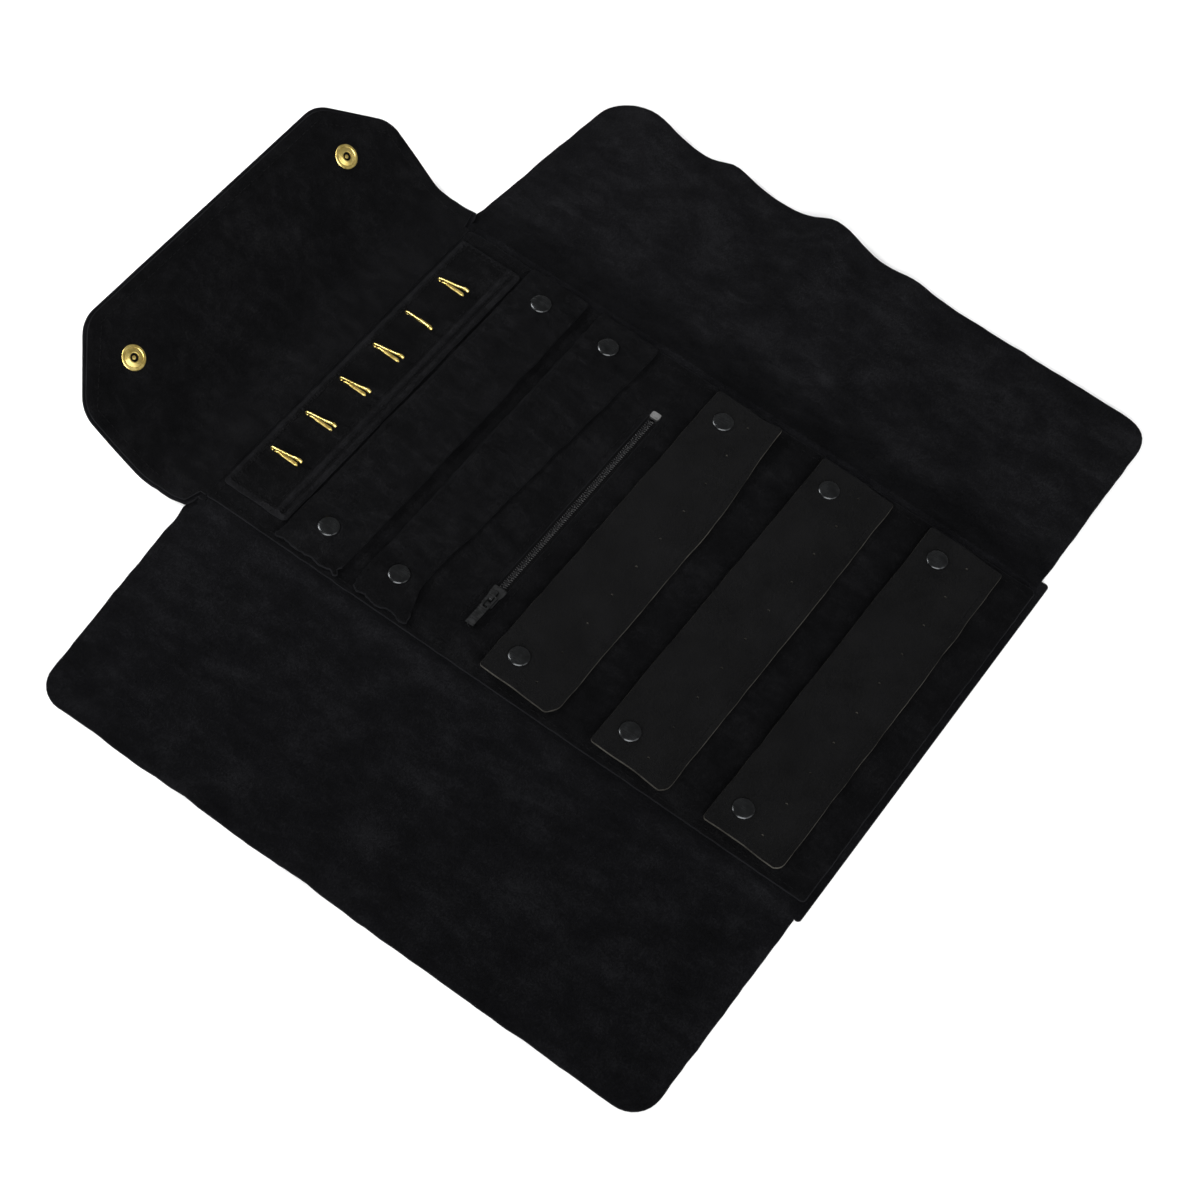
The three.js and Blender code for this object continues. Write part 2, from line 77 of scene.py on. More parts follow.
def inMetres(sizes, **others):
    # a dictionary from sizes in mm, alone or in pairs and lists, and from counts, shares, angles and names
    def scaled(value):
        if isinstance(value, dict):
            return {key: scaled(item) for key, item in value.items()}
        if isinstance(value, (list, tuple)):
            return [scaled(item) for item in value]
        return value * mm

    return {**scaled(sizes), **others}


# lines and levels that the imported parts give
mainY = pivot("main_fold").y
hemFoldY = pivot("hem_fold").y
sideX = pivot("right_fold").x
closingY = pivot("closing_fold").y
foldLevel = pivot("closing_fold").z
coverMid = centreOf("cover_back")[2]
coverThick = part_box("cover_back")[1].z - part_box("cover_back")[0].z
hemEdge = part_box("cover_hem")[0].y
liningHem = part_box("lining_hem")[0].y
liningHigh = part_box("lining_back")[1]
zipY = (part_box("zipper_coil_lower")[0].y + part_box("zipper_coil_upper")[1].y) / 2
print("frame loaded,", len(frame["nodes"]), "nodes")


# camera at the photo's view
photoView = {
    "place": (-0.6425, -0.31447, 1.0590), "right": (0.56979, -0.81220, 0.12517),
    "ahead": (0.48863, 0.21238, -0.84625), "lens": 82.16,
    "sensor": 36.0, "clip": (0.05, 20),
}


def setCamera(look):
    right = Vector(look["right"])
    back = -Vector(look["ahead"])
    turn = Matrix((right, back.cross(right), back)).transposed()
    camera = bpy.data.objects.new("photo_camera", bpy.data.cameras.new("photo_camera"))
    camera.matrix_world = Matrix.Translation(look["place"]) @ turn.to_4x4()
    camera.data.lens = look["lens"]
    camera.data.sensor_width = look["sensor"]
    camera.data.clip_start, camera.data.clip_end = look["clip"]
    scene.collection.objects.link(camera)
    scene.camera = camera


setCamera(photoView)
print("camera set")


# materials
def feed(tree, node, inputs):
    # a socket is linked, any other value is set on the node itself
    for name, value in inputs.items():
        if isinstance(value, bpy.types.NodeSocket):
            tree.links.new(value, node.inputs[name])
        else:
            node.inputs[name].default_value = value


def addNode(tree, kind, output, inputs, **settings):
    node = tree.nodes.new("ShaderNode" + kind)
    for name, value in settings.items():
        setattr(node, name, value)
    feed(tree, node, inputs)
    return node.outputs[output]


def startMaterial(name, look):
    material = bpy.data.materials.new(name)
    material.use_nodes = True
    tree = material.node_tree
    shader = tree.nodes["Principled BSDF"]
    feed(tree, shader, {
        "Roughness": look["rough"],
        "Specular IOR Level": look["gloss"],
        "Metallic": look.get("metal", 0.0),
    })
    coords = addNode(tree, "TexCoord", "Object", {})
    return material, tree, shader, coords


def stretched(tree, coords, scale, turn):
    return addNode(tree, "Mapping", "Vector", {"Vector": coords, "Scale": scale, "Rotation": (0, 0, turn)})


def cloudy(tree, coords, scale, detail=3.0, rough=0.55):
    inputs = {"Vector": coords, "Scale": scale, "Detail": detail, "Roughness": rough}
    return addNode(tree, "TexNoise", "Fac", inputs)


def cells(tree, coords, scale):
    inputs = {"Vector": coords, "Scale": scale}
    return addNode(tree, "TexVoronoi", "Distance", inputs, feature="DISTANCE_TO_EDGE")


def weave(tree, coords, scale, direction):
    inputs = {"Vector": coords, "Scale": scale, "Distortion": 0.6}
    return addNode(tree, "TexWave", "Fac", inputs, wave_type="BANDS", bands_direction=direction)


def summed(tree, sockets, weights):
    total = 0.0
    for socket, weight in zip(sockets, weights):
        total = addNode(tree, "Math", 0, {0: socket, 1: weight, 2: total}, operation="MULTIPLY_ADD")
    return total


def ramp(tree, factor, stops):
    color = addNode(tree, "ValToRGB", "Color", {"Fac": factor})
    elements = color.node.color_ramp.elements
    while len(elements) < len(stops):
        elements.new(0.5)
    for element, (place, tone) in zip(elements, stops):
        element.position = place
        element.color = (*tone, 1)
    return color


def levels(tree, factor, low, high, start=0.25, end=0.75):
    inputs = {"Value": factor, "From Min": start, "From Max": end, "To Min": low, "To Max": high}
    return addNode(tree, "MapRange", "Result", inputs, interpolation_type="SMOOTHSTEP")


def raised(tree, shader, height, look):
    inputs = {"Height": height, "Strength": look["bump"], "Distance": look["depth"]}
    feed(tree, shader, {"Normal": addNode(tree, "Bump", "Normal", inputs)})


def toned(tree, shade, look):
    # colour from the tones of a look, each at its stop
    tones = [look[key] for key in ("dark", "mid", "light") if key in look]
    return ramp(tree, shade, list(zip(look["stops"], tones)))


def applyShade(tree, shader, shade, look):
    # colour and roughness both follow the shade
    rough = levels(tree, shade, *(look["rough"] + part for part in look["roughSpan"]))
    feed(tree, shader, {"Base Color": toned(tree, shade, look), "Roughness": rough})


def makeSuede(name, look):
    material, tree, shader, coords = startMaterial(name, look)
    clouds = cloudy(tree, coords, look["clouds"], *look["cloudNoise"])
    combed = stretched(tree, coords, look["comb"], look["brushTurn"])
    brushed = cloudy(tree, combed, look["brush"], *look["brushNoise"])
    nap = cloudy(tree, coords, look["nap"], *look["napNoise"])
    layers = [clouds, brushed, nap]
    if "crease" in look:  # painted shade: a band along the crease is darkened, standing in for the shade where the flap falls away from the lining
        start, end, depth = look["crease"]
        across = addNode(tree, "SeparateXYZ", "X", {0: coords})
        layers.append(levels(tree, across, -depth, 0.0, start, end))
    shade = summed(tree, layers, look["shares"])
    feed(tree, shader, {
        "Base Color": toned(tree, shade, look),
        "Sheen Weight": look["sheen"],
        "Sheen Roughness": look["sheenRough"],
        "Sheen Tint": look["sheenTint"],
    })
    raised(tree, shader, summed(tree, (nap, brushed), (0.5, 0.5)), look)
    return material


suedeLook = {
    "dark": (0.0014, 0.0014, 0.0016), "mid": (0.0032, 0.0032, 0.0037),
    "light": (0.0086, 0.0087, 0.0098), "stops": (0.37, 0.5, 0.64),
    "rough": 0.95, "gloss": 0.02, "clouds": 30.0,
    "brush": 105.0, "brushTurn": 0.5, "nap": 1250.0,
    "shares": (0.31, 0.30, 0.39, 1.0),  # of clouds, brushing, nap and the painted shade along the crease in the tone
    "cloudNoise": (9.0, 0.72),  # detail and roughness
    "brushNoise": (6.0, 0.72), "napNoise": (3.0, 0.75),
    "comb": (1, 0.45, 1), "sheen": 0.012, "sheenRough": 0.5, "sheenTint": (0.75, 0.77, 0.85, 1),
    "bump": 0.8, "depth": 0.0008,
}
# painted light and shade: the right flap is a lighter copy of the cover suede, standing in for the glare on
# that side, and its crease gets a band of painted shade
rightFlapPaintedLightLook = {
    **suedeLook, "mid": (0.0038, 0.0038, 0.0043),
    "light": (0.0104, 0.0106, 0.0117), "crease": (112 * mm, 134 * mm, 0.085),
}
liningLook = {
    **suedeLook, "dark": (0.0012, 0.0012, 0.0013),
    "mid": (0.0026, 0.0026, 0.0029), "light": (0.0068, 0.0068, 0.0074),
    "clouds": 48.0, "brush": 170.0, "brushTurn": -0.4,
}
strapLook = {
    **liningLook, "mid": (0.0028, 0.0028, 0.0031),
    "light": (0.0074, 0.0074, 0.0081), "clouds": 60.0,
    "brush": 220.0, "brushTurn": 1.2,
}
weltLook = {**liningLook, "mid": (0.0048, 0.0048, 0.0053), "light": (0.011, 0.011, 0.012)}
rawLook = {**suedeLook, "mid": (0.0075, 0.0076, 0.0084), "nap": 2600.0, "bump": 0.9}
coverSuede = makeSuede("cover suede", suedeLook)
flapSuede = {"left": coverSuede, "right": makeSuede("right flap suede", rightFlapPaintedLightLook)}
liningSuede = makeSuede("lining suede", liningLook)
strapSuede = makeSuede("strap suede", strapLook)
panelSuede = makeSuede("hook panel suede", {**liningLook, "mid": (0.0021, 0.0021, 0.0023), "clouds": 70.0})
wornSuede = makeSuede("worn suede welt", weltLook)
rawSuede = makeSuede("cut suede edge", rawLook)


def makeLeather(name, look):
    material, tree, shader, coords = startMaterial(name, look)
    pebbles = cells(tree, coords, look["grain"])
    blotches = cloudy(tree, coords, look["blotches"])
    pores = cloudy(tree, coords, look["pores"], *look["poreNoise"])
    applyShade(tree, shader, summed(tree, (blotches, pores), look["shares"]), look)
    raised(tree, shader, summed(tree, (pebbles, pores), look["relief"]), look)
    return material


leatherLook = {
    "dark": (0.0021, 0.0021, 0.0022), "light": (0.0068, 0.0068, 0.0071),
    "stops": (0.36, 0.64), "rough": 0.62, "roughSpan": (-0.06, 0.08),
    "gloss": 0.04, "grain": 1150.0, "blotches": 60.0, "pores": 1700.0, "poreNoise": (2.0, 0.7),
    "shares": (0.25, 0.75),  # of blotches and pores in the shade
    "relief": (1.2, 0.5),  # of grain and pores in the bump
    "bump": 0.5, "depth": 0.0003,
}
cutLeatherLook = {
    **leatherLook, "dark": (0.007, 0.0067, 0.006),
    "light": (0.062, 0.059, 0.051), "rough": 0.85,
    "blotches": 80.0, "shares": (0.65, 0.35),
}
leather = makeLeather("flap leather", leatherLook)
cutLeather = makeLeather("cut leather edge", cutLeatherLook)


metalLook = {
    "stops": (0.35, 0.65), "roughSpan": (-0.07, 0.12),
    "gloss": 0.5, "metal": 1.0, "smudgeNoise": (4.0, 0.6), "scratchDetail": 2.0,
    "shares": (0.7, 0.3),  # of smudges and scratches in the shade
    "comb": (1, 0.08, 1), "combTurn": 0.7,
    "bump": 0.15, "depth": 0.00005,
}


def makeMetal(name, dark, light, rough, smudgeScale, scratchScale):
    look = {**metalLook, "dark": dark, "light": light, "rough": rough}
    material, tree, shader, coords = startMaterial(name, look)
    smudges = cloudy(tree, coords, smudgeScale, *look["smudgeNoise"])
    combed = stretched(tree, coords, look["comb"], look["combTurn"])
    scratches = cloudy(tree, combed, scratchScale, look["scratchDetail"])
    applyShade(tree, shader, summed(tree, (smudges, scratches), look["shares"]), look)
    raised(tree, shader, scratches, look)
    return material


metals = {
    # darkest and lightest tone, roughness, scale of the smudges and of the scratches
    "gunmetal": ((0.028, 0.029, 0.030), (0.050, 0.052, 0.054), 0.22, 240.0, 1500.0),
    "slider metal": ((0.036, 0.037, 0.038), (0.078, 0.080, 0.082), 0.25, 300.0, 1500.0),
    "polished brass": ((0.60, 0.44, 0.11), (0.85, 0.69, 0.26), 0.34, 320.0, 1800.0),
    "nickel": ((0.36, 0.36, 0.36), (0.58, 0.58, 0.58), 0.3, 400.0, 2000.0),
}
gunmetal, sliderMetal, brass, nickel = (makeMetal(name, *look) for name, look in metals.items())


tapeLook = {
    "dark": (0.003, 0.003, 0.0033), "stops": (0.25, 0.8),
    "rough": 0.9, "gloss": 0.06, "threads": {"X": 420.0, "Y": 520.0},
    "bump": 0.6, "depth": 0.0003,
}


def makeTape(name, tone):
    look = {**tapeLook, "light": tone}
    material, tree, shader, coords = startMaterial(name, look)
    weaves = [weave(tree, coords, scale, way) for way, scale in look["threads"].items()]
    cloth = summed(tree, weaves, (0.5, 0.5))
    feed(tree, shader, {"Base Color": toned(tree, cloth, look)})
    raised(tree, shader, cloth, look)
    return material


zipTape = makeTape("zip tape", (0.0055, 0.0055, 0.006))
thread = makeTape("sewing thread", (0.0085, 0.0085, 0.009))
darkThread = makeTape("dark sewing thread", (0.0042, 0.0042, 0.0046))


coilLook = {
    "dark": (0.003, 0.003, 0.0034), "light": (0.008, 0.008, 0.009),
    "stops": (0.35, 0.7), "rough": 0.3, "roughSpan": (-0.08, 0.1),
    "gloss": 0.3, "clouds": 700.0,
}


def makeCoil(name, look):
    material, tree, shader, coords = startMaterial(name, look)
    applyShade(tree, shader, cloudy(tree, coords, look["clouds"]), look)
    return material


zipCoil = makeCoil("zip coil", coilLook)
print("materials made")


# mesh helpers
meshLook = {
    # shares of the step: along a rounding, between rows of points, and from the rim to the inner points
    "arcStep": 0.7, "rowStep": 0.866, "rimClear": 0.6,
    "rimAngles": [math.radians(a) for a in (52, 18, -18, -52)],
    "probe": 0.2 * mm,  # a normal is measured over this distance
}


def addPiece(name, points, faces, materials, slots=None, sharp=45):
    mesh = bpy.data.meshes.new(name)
    mesh.from_pydata([tuple(point) for point in points], [], faces)
    for material in materials:
        mesh.materials.append(material)
    if slots is not None:
        mesh.polygons.foreach_set("material_index", slots)
    mesh.polygons.foreach_set("use_smooth", [True] * len(faces))
    mesh.set_sharp_from_angle(angle=math.radians(sharp))
    mesh.update()
    piece = bpy.data.objects.new(name, mesh)
    scene.collection.objects.link(piece)
    return piece


def seat(piece, bodies, slot, *nodes, bend=None):
    # fixes a piece to a body, or else only bakes its placement into its mesh; nodes are the imported parts that
    # it stands for, which are hidden
    if bend is None:
        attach(piece, bodies)
    else:
        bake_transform(piece)
    if nodes:
        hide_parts(*nodes)


def smooth(value):
    t = min(1.0, max(0.0, value))
    return t * t * (3 - 2 * t)


def grow(value, span):
    # from 0 to 1 over a span (start, length)
    return smooth((value - span[0]) / span[1])


def bell(distance, width):
    return math.exp(-((distance / width) ** 2))


def hump(value, spot):
    # a bell at a spot (place, width)
    return bell(value - spot[0], spot[1])


def wave(x, y, size, seed=0.0):
    return noise.noise(Vector((x / size, y / size, seed)))


def rippled(x, y, ripple, seed=0.0):
    # a ripple (height, size)
    return ripple[0] * wave(x, y, ripple[1], seed)


def around(sides):
    return [2 * math.pi * k / sides for k in range(sides)]


def boxCorners(west, south, east, north, lower=0, upper=0):
    # corners of a rectangle, with the rounding of the lower and of the upper pair
    return [(west, south, lower), (east, south, lower), (east, north, upper), (west, north, upper)]


def evenly(points, step):
    # points along straight runs, no further apart than the step
    made = []
    for here, after in zip(points, points[1:]):
        count = max(1, math.ceil((after - here).length / step - 1e-6))
        made += [here.lerp(after, k / count) for k in range(count)]
    return made + [points[-1]]


def roundedLoop(corners, step):
    # closed outline, counter-clockwise, through corners (x, y, rounding)
    turned = []
    for i, (x, y, rounding) in enumerate(corners):
        here = Vector((x, y))
        into = (here - Vector(corners[i - 1][:2])).normalized()
        out = (Vector(corners[(i + 1) % len(corners)][:2]) - here).normalized()
        turn = math.atan2(into.x * out.y - into.y * out.x, into.dot(out))
        if rounding <= 0 or abs(turn) < 1e-3:
            turned.append(here)
            continue
        start = here - into * rounding * math.tan(abs(turn) / 2)
        centre = start + Vector((-into.y, into.x)) * rounding * math.copysign(1, turn)
        count = max(4, math.ceil(rounding * abs(turn) / (meshLook["arcStep"] * step)))
        for k in range(count + 1):
            turned.append(centre + Matrix.Rotation(turn * k / count, 2) @ (start - centre))
    return evenly(turned + [turned[0]], step)[:-1]


def widened(points, zone, back=False):
    # draws a bend wider in plan, or back to its size, so that it gets a finer mesh
    axis, low, high, times = zone
    real = (-1.0, low, high, 1.0)
    drawn = (-1.0, low, low + (high - low) * times, 1.0 + (high - low) * (times - 1))
    made = np.array([tuple(p) for p in points])
    made[:, axis] = np.interp(made[:, axis], *((drawn, real) if back else (real, drawn)))
    return made


def zonedLoop(corners, step, zone):
    # a rounded outline with more points where it crosses a bend
    spots = widened([corner[:2] for corner in corners], zone)
    loop = roundedLoop([(x, y, corner[2]) for (x, y), corner in zip(spots.tolist(), corners)], step)
    return [Vector(p) for p in widened(loop, zone, True)]


def ringLoop(x, y, radius, sides):
    # round hole, clockwise
    return [Vector((x + radius * math.cos(-a), y + radius * math.sin(-a))) for a in around(sides)]


def roughEdge(loop, ripple, keep=None, seed=0.0):
    # wavers an outline as a hand-cut edge does, less where a share of it is kept
    made = []
    for i, here in enumerate(loop):
        along = (loop[(i + 1) % len(loop)] - loop[i - 1]).normalized()
        kept = 0.0 if keep is None else float(keep(here.x, here.y))
        made.append(here + Vector((along.y, -along.x)) * rippled(here.x, here.y, ripple, seed) * (1 - kept))
    return made


def insidePlan(points, loops):
    inside = np.zeros(len(points), bool)
    for loop in loops:
        corners = np.array([tuple(p) for p in loop])
        for (x0, y0), (x1, y1) in zip(corners, np.roll(corners, -1, axis=0)):
            spans = (y0 > points[:, 1]) != (y1 > points[:, 1])
            with np.errstate(divide="ignore", invalid="ignore"):
                crossing = x0 + (points[:, 1] - y0) * (x1 - x0) / (y1 - y0)
            inside ^= spans & (points[:, 0] < crossing)
    return inside


def fillPlan(loops, step, zone):
    # triangles between the loops, with a staggered grid of inner points
    if zone is not None:
        loops = [[Vector(p) for p in widened(loop, zone)] for loop in loops]
    rim = np.array([tuple(p) for loop in loops for p in loop])
    low, high = rim.min(0), rim.max(0)
    rowStep = step * meshLook["rowStep"]
    grid = []
    for row in range(int((high[1] - low[1]) / rowStep) + 1):
        xs = np.arange(low[0] + (row % 2) * step / 2, high[0], step)
        grid.append(np.column_stack([xs, np.full(len(xs), low[1] + (row + 0.5) * rowStep)]))
    grid = np.concatenate(grid)
    grid = grid[insidePlan(grid, loops)]
    clear = np.ones(len(grid), bool)
    for chunk in np.array_split(rim, max(1, len(rim) // 200)):
        gaps = np.linalg.norm(grid[:, None, :] - chunk[None, :, :], axis=2).min(1)
        clear &= gaps > meshLook["rimClear"] * step
    plan = np.concatenate([rim, grid[clear]])
    edges, first = [], 0
    for loop in loops:
        edges += [(first + k, first + (k + 1) % len(loop)) for k in range(len(loop))]
        first += len(loop)
    made = delaunay_2d_cdt([Vector(p) for p in plan], edges, [], 0, 1e-9)
    source = [ids[0] for ids in made[3]]
    triangles = np.array([[source[v] for v in face] for face in made[2]])
    kept = insidePlan(plan[triangles].mean(1), loops)
    return plan if zone is None else widened(plan, zone, True), triangles[kept]


def surfaceAt(surface, x, y):
    # point and normal of a surface function
    small = meshLook["probe"]
    here = surface(x, y)
    alongX = surface(x + small, y) - surface(x - small, y)
    alongY = surface(x, y + small) - surface(x, y - small)
    return here, alongX.cross(alongY).normalized()


def ringFaces(first, second, flip=False):
    # faces between two closed rings of points, where a ring of one point closes an end
    size = max(len(first), len(second))
    made = []
    for i in range(size):
        j = (i + 1) % size
        corners = [ring[k % len(ring)] for ring, k in ((first, i), (second, i), (second, j), (first, j))]
        if flip:
            corners = [corners[k] for k in (0, 3, 2, 1)]
        made.append(tuple(dict.fromkeys(corners)))
    return made


def makeSheet(name, loops, step, surface, thick, materials, bulge=0.45, butt=None, raw=None, zone=None):
    # a cut sheet laid on a surface, closed, with a rounded or square rim, raw all round or only in places
    plan, triangles = fillPlan(loops, step, zone)
    placed = [surfaceAt(surface, x, y) for x, y in plan]
    points = [point + normal * thick / 2 for point, normal in placed]
    points += [point - normal * thick / 2 for point, normal in placed]
    count = len(plan)
    faces = [tuple(t) for t in triangles.tolist()]
    faces += [(t[2] + count, t[1] + count, t[0] + count) for t in triangles.tolist()]
    slots = [0] * len(faces)
    edgeSlot = len(materials) - 1
    first = 0
    for loop in loops:
        size = len(loop)
        rings = [[first + i for i in range(size)]]
        for angle in meshLook["rimAngles"] if bulge > 0 else []:
            rings.append(list(range(len(points), len(points) + size)))
            for i in range(size):
                point, normal = placed[first + i]
                along = placed[first + (i + 1) % size][0] - placed[first + (i - 1) % size][0]
                outward = along.cross(normal).normalized()
                flush = butt is not None and butt(*plan[first + i])
                push = 0.0 if flush else bulge * thick * math.cos(angle)
                points.append(point + outward * push + normal * math.sin(angle) * thick / 2)
        rings.append([first + i + count for i in range(size)])
        for upper, lower in zip(rings, rings[1:]):
            faces += ringFaces(upper, lower)
            slots += [edgeSlot if raw is None or raw(*plan[first + i]) else 0 for i in range(size)]
        first += size
    return addPiece(name, points, faces, materials, slots)


def turnedPiece(name, profile, base, axis, sides, material):
    # a round piece from its profile (radius, height) in mm, top to bottom, both ends on the axis
    turn = Vector((0, 0, 1)).rotation_difference(axis)
    points, rings, faces = [], [], []
    for radius, height in profile:
        ring = []
        for angle in around(sides) if radius > 0 else [0.0]:
            local = Vector((radius * math.cos(angle), radius * math.sin(angle), height)) * mm
            ring.append(len(points))
            points.append(base + turn @ local)
        rings.append(ring)
    for upper, lower in zip(rings, rings[1:]):
        faces += ringFaces(upper, lower)
    return addPiece(name, points, faces, [material], sharp=38)


def measured(node, axis):
    # base point on a turned node's axis, and its length and radius in mm
    places = np.array([v.co for v in frame["nodes"][node].data.vertices])
    along = places @ np.array(axis)
    flat = places - np.outer(along, np.array(axis))
    corners = np.unique(np.round(flat, 6), axis=0)
    centre = (corners.min(0) + corners.max(0)) / 2
    radius = np.linalg.norm(corners - centre, axis=1).max()
    base = Vector(centre) + Vector(axis) * along.min()
    return base, float(along.max() - along.min()) / mm, float(radius) / mm


def sweptWire(name, path, radii, sides, material, widths=None, normal=Vector((0.31, 0.17, 0.93))):
    # wire along points, with its own radius, and width if flattened, at each
    points, rings = [], []
    for i, here in enumerate(path):
        along = (path[min(i + 1, len(path) - 1)] - path[max(i - 1, 0)]).normalized()
        normal = (normal - along * normal.dot(along)).normalized()
        side = along.cross(normal)
        width = radii[i] if widths is None else widths[i]
        rings.append(list(range(len(points), len(points) + sides)))
        for angle in around(sides):
            points.append(here + normal * math.cos(angle) * radii[i] + side * math.sin(angle) * width)
    faces = [tuple(reversed(rings[0])), tuple(rings[-1])]
    for lower, upper in zip(rings, rings[1:]):
        faces += ringFaces(lower, upper, True)
    return addPiece(name, points, faces, [material], sharp=60)


# stitches, each a small swelling of thread: reach along it and share of its radius, between two sunk tips
threadLook = inMetres({
    "stitch": 2.3, "pitch": 3.0, "radius": 0.27,
    "every": 1.5,  # points along the line
}, sides=6, sunk=0.35, swelling=((-0.72, 0.7), (0, 1.0), (0.72, 0.7)))


def stitchRow(name, surface, routes, thick, material, look=threadLook):
    # stitches along routes drawn on the upper face of a sheet
    points, faces = [], []
    for route in routes:
        line = [surfaceAt(surface, *spot) for spot in evenly([Vector(p) for p in route], look["every"])]
        spots = [point + normal * thick / 2 for point, normal in line]
        lengths = np.concatenate([[0], np.cumsum([(b - a).length for a, b in zip(spots, spots[1:])])])
        count = int(lengths[-1] / look["pitch"])
        for k in range(count):
            middle = (k + 0.5) * lengths[-1] / count
            i = int(np.searchsorted(lengths, middle)) - 1
            i = min(max(i, 0), len(spots) - 2)
            share = (middle - lengths[i]) / max(lengths[i + 1] - lengths[i], 1e-9)
            along = (spots[i + 1] - spots[i]).normalized()
            normal = line[i][1]
            side = normal.cross(along)
            centre = spots[i].lerp(spots[i + 1], share) + normal * look["radius"] * look["sunk"]
            half = along * look["stitch"] / 2
            rings = [[len(points)]]
            points.append(centre - half - normal * look["radius"])
            for reach, swell in look["swelling"]:
                rings.append(list(range(len(points), len(points) + look["sides"])))
                for angle in around(look["sides"]):
                    offset = (normal * math.cos(angle) + side * math.sin(angle)) * look["radius"] * swell
                    points.append(centre + half * reach + offset)
            rings.append([len(points)])
            points.append(centre + half - normal * look["radius"])
            for lower, upper in zip(rings, rings[1:]):
                faces += ringFaces(lower, upper, True)
    return addPiece(name, points, faces, [material], sharp=80)


print("helpers ready")


# outer cover of the centre strip, in two lengths that meet under the middle earring flap
coverSheet = inMetres({
    "step": 4.5, "edge": 105, "split": -109, "droop": 1.35, "droopReach": 24,
    "ear": 109.6, "corner": 1.5, "hemLine": {"left": -206.4, "right": -204.9},
    "squareFrom": 2.5,  # only the hem itself has a rounded rim
    "rootStart": 4, "ripple": (0.12, 40),
    # height of the swelling beside the lining, where it is, and how far it runs in and out
    "crest": {
        "left": (1.6, 106.5, 4.5, 4.5),
        "right": (1.05, 101.5, 2.6, 12),
    },
    "crestFromFold": (5, 14), "crestFromHem": (6, 20),
}, finer=4, lengths={
    # panels that a length joins, their fold line and how far the bend runs to each side
    "back": ("middle_panel", "back_panel", mainY, 9 * mm),
    "hem": ("hem_panel", "middle_panel", hemFoldY, 8 * mm),
})


def crestHeight(x, y):
    # the cover swells beside the lining, before it falls away into the side flaps
    look = coverSheet
    tall, place, inner, outer = look["crest"]["right" if x > 0 else "left"]
    beyond = abs(x) - place
    ends = grow(closingY - y, look["crestFromFold"]) * grow(y - hemEdge, look["crestFromHem"])
    return tall * bell(beyond, inner if beyond < 0 else outer) * ends


def hemDroop(y):
    return coverSheet["droop"] * smooth((hemEdge + coverSheet["droopReach"] - y) / coverSheet["droopReach"])


def coverSurface(x, y):
    height = coverMid - hemDroop(y) + crestHeight(x, y)
    return Vector((x, y, height + rippled(x, y, coverSheet["ripple"])))


def bendZone(part):
    lower, upper, line, reach = coverSheet["lengths"][part]
    return (1, line - reach - bendMargin, line + reach + bendMargin, coverSheet["finer"])


def acrossFold(piece, part, *nodes):
    lower, upper, line, reach = coverSheet["lengths"][part]
    bend = [(0, line - reach, coverMid), (0, line + reach, coverMid)]
    seat(piece, (lower, upper), "suede", *nodes, bend=bend)


def addLength(layer, part, name, loops, step, surface, thick, suede, **rim):
    # one length of the strip's cover or lining
    piece = makeSheet(name, loops, step, surface, thick, [suede, rawSuede], zone=bendZone(part), **rim)
    acrossFold(piece, part, f"{layer}_{part}", f"{layer}_middle")
    return piece


def addCover(look):
    edge, ear, split, step, corner = (look[key] for key in ("edge", "ear", "split", "step", "corner"))
    leftTop, rightTop = look["hemLine"]["left"], look["hemLine"]["right"]
    topY = closingY - look["rootStart"]
    hemCorners = [
        (-ear, hemEdge, corner), (ear, hemEdge, corner), (ear, rightTop, 0), (edge, rightTop, 0),
        (edge, split, 0), (-edge, split, 0), (-edge, leftTop, 0), (-ear, leftTop, 0),
    ]
    backLoop = zonedLoop(boxCorners(-edge, split, edge, topY), step, bendZone("back"))
    hemLoop = zonedLoop(hemCorners, step, bendZone("hem"))
    back = addLength("cover", "back", "outer_cover_back", [backLoop], step, coverSurface, coverThick,
                     coverSuede, bulge=0)
    hem = addLength("cover", "hem", "outer_cover_hem", [hemLoop], step, coverSurface, coverThick,
                    coverSuede, butt=lambda x, y: y > hemEdge + look["squareFrom"])


addCover(coverSheet)
print("outer cover made")


# side flaps, each in three lengths, one beside each panel
sideFlaps = inMetres({
    "step": 4, "edge": {"left": -226.8, "right": 218.2},
    "creaseStart": 106, "creaseEnd": 117, "crease": 0.25, "creaseWidth": 2.6,
    "corner": 14, "topSlope": 11.5, "topRise": 1.4, "topStart": 113, "topCorner": 1.5,
    "topGap": 0.2,
    "tuckFrom": 107.5,  # from here out it lies under the closing flap
    "tuckDepth": 1.2, "tuckFromFold": (-7, 6), "tuckFromCover": (0.0, 2.5),
    "droop": 1.45, "droopReach": 17,
    # middle, height, and how far each runs out towards the hem and towards the closing flap
    "ridges": {
        "left": [(-150, 1.0, 12, 12), (-30, 1.8, 12, 12),
                 (32, 1.6, 11, 11), (88, 1.4, 12, 12)],
        "right": [(-66, 3.4, 13, 12), (-19, 11, 19, 14),
                  (42, 5.6, 12, 10), (92, 8, 15, 16)],
    },
    "ridgeStart": 130, "cut": 128, "ground": 0.05,
    "bow": {"left": 0.0, "right": 2.6}, "bowSpan": (117, 46),
    "ripple": (0.3, 26), "rippleReach": 20, "waver": (0.5, 9),
    "rim": 1, "earGap": 0.6,
}, finer=3, ridgePower=1.4, pressed=0.2)


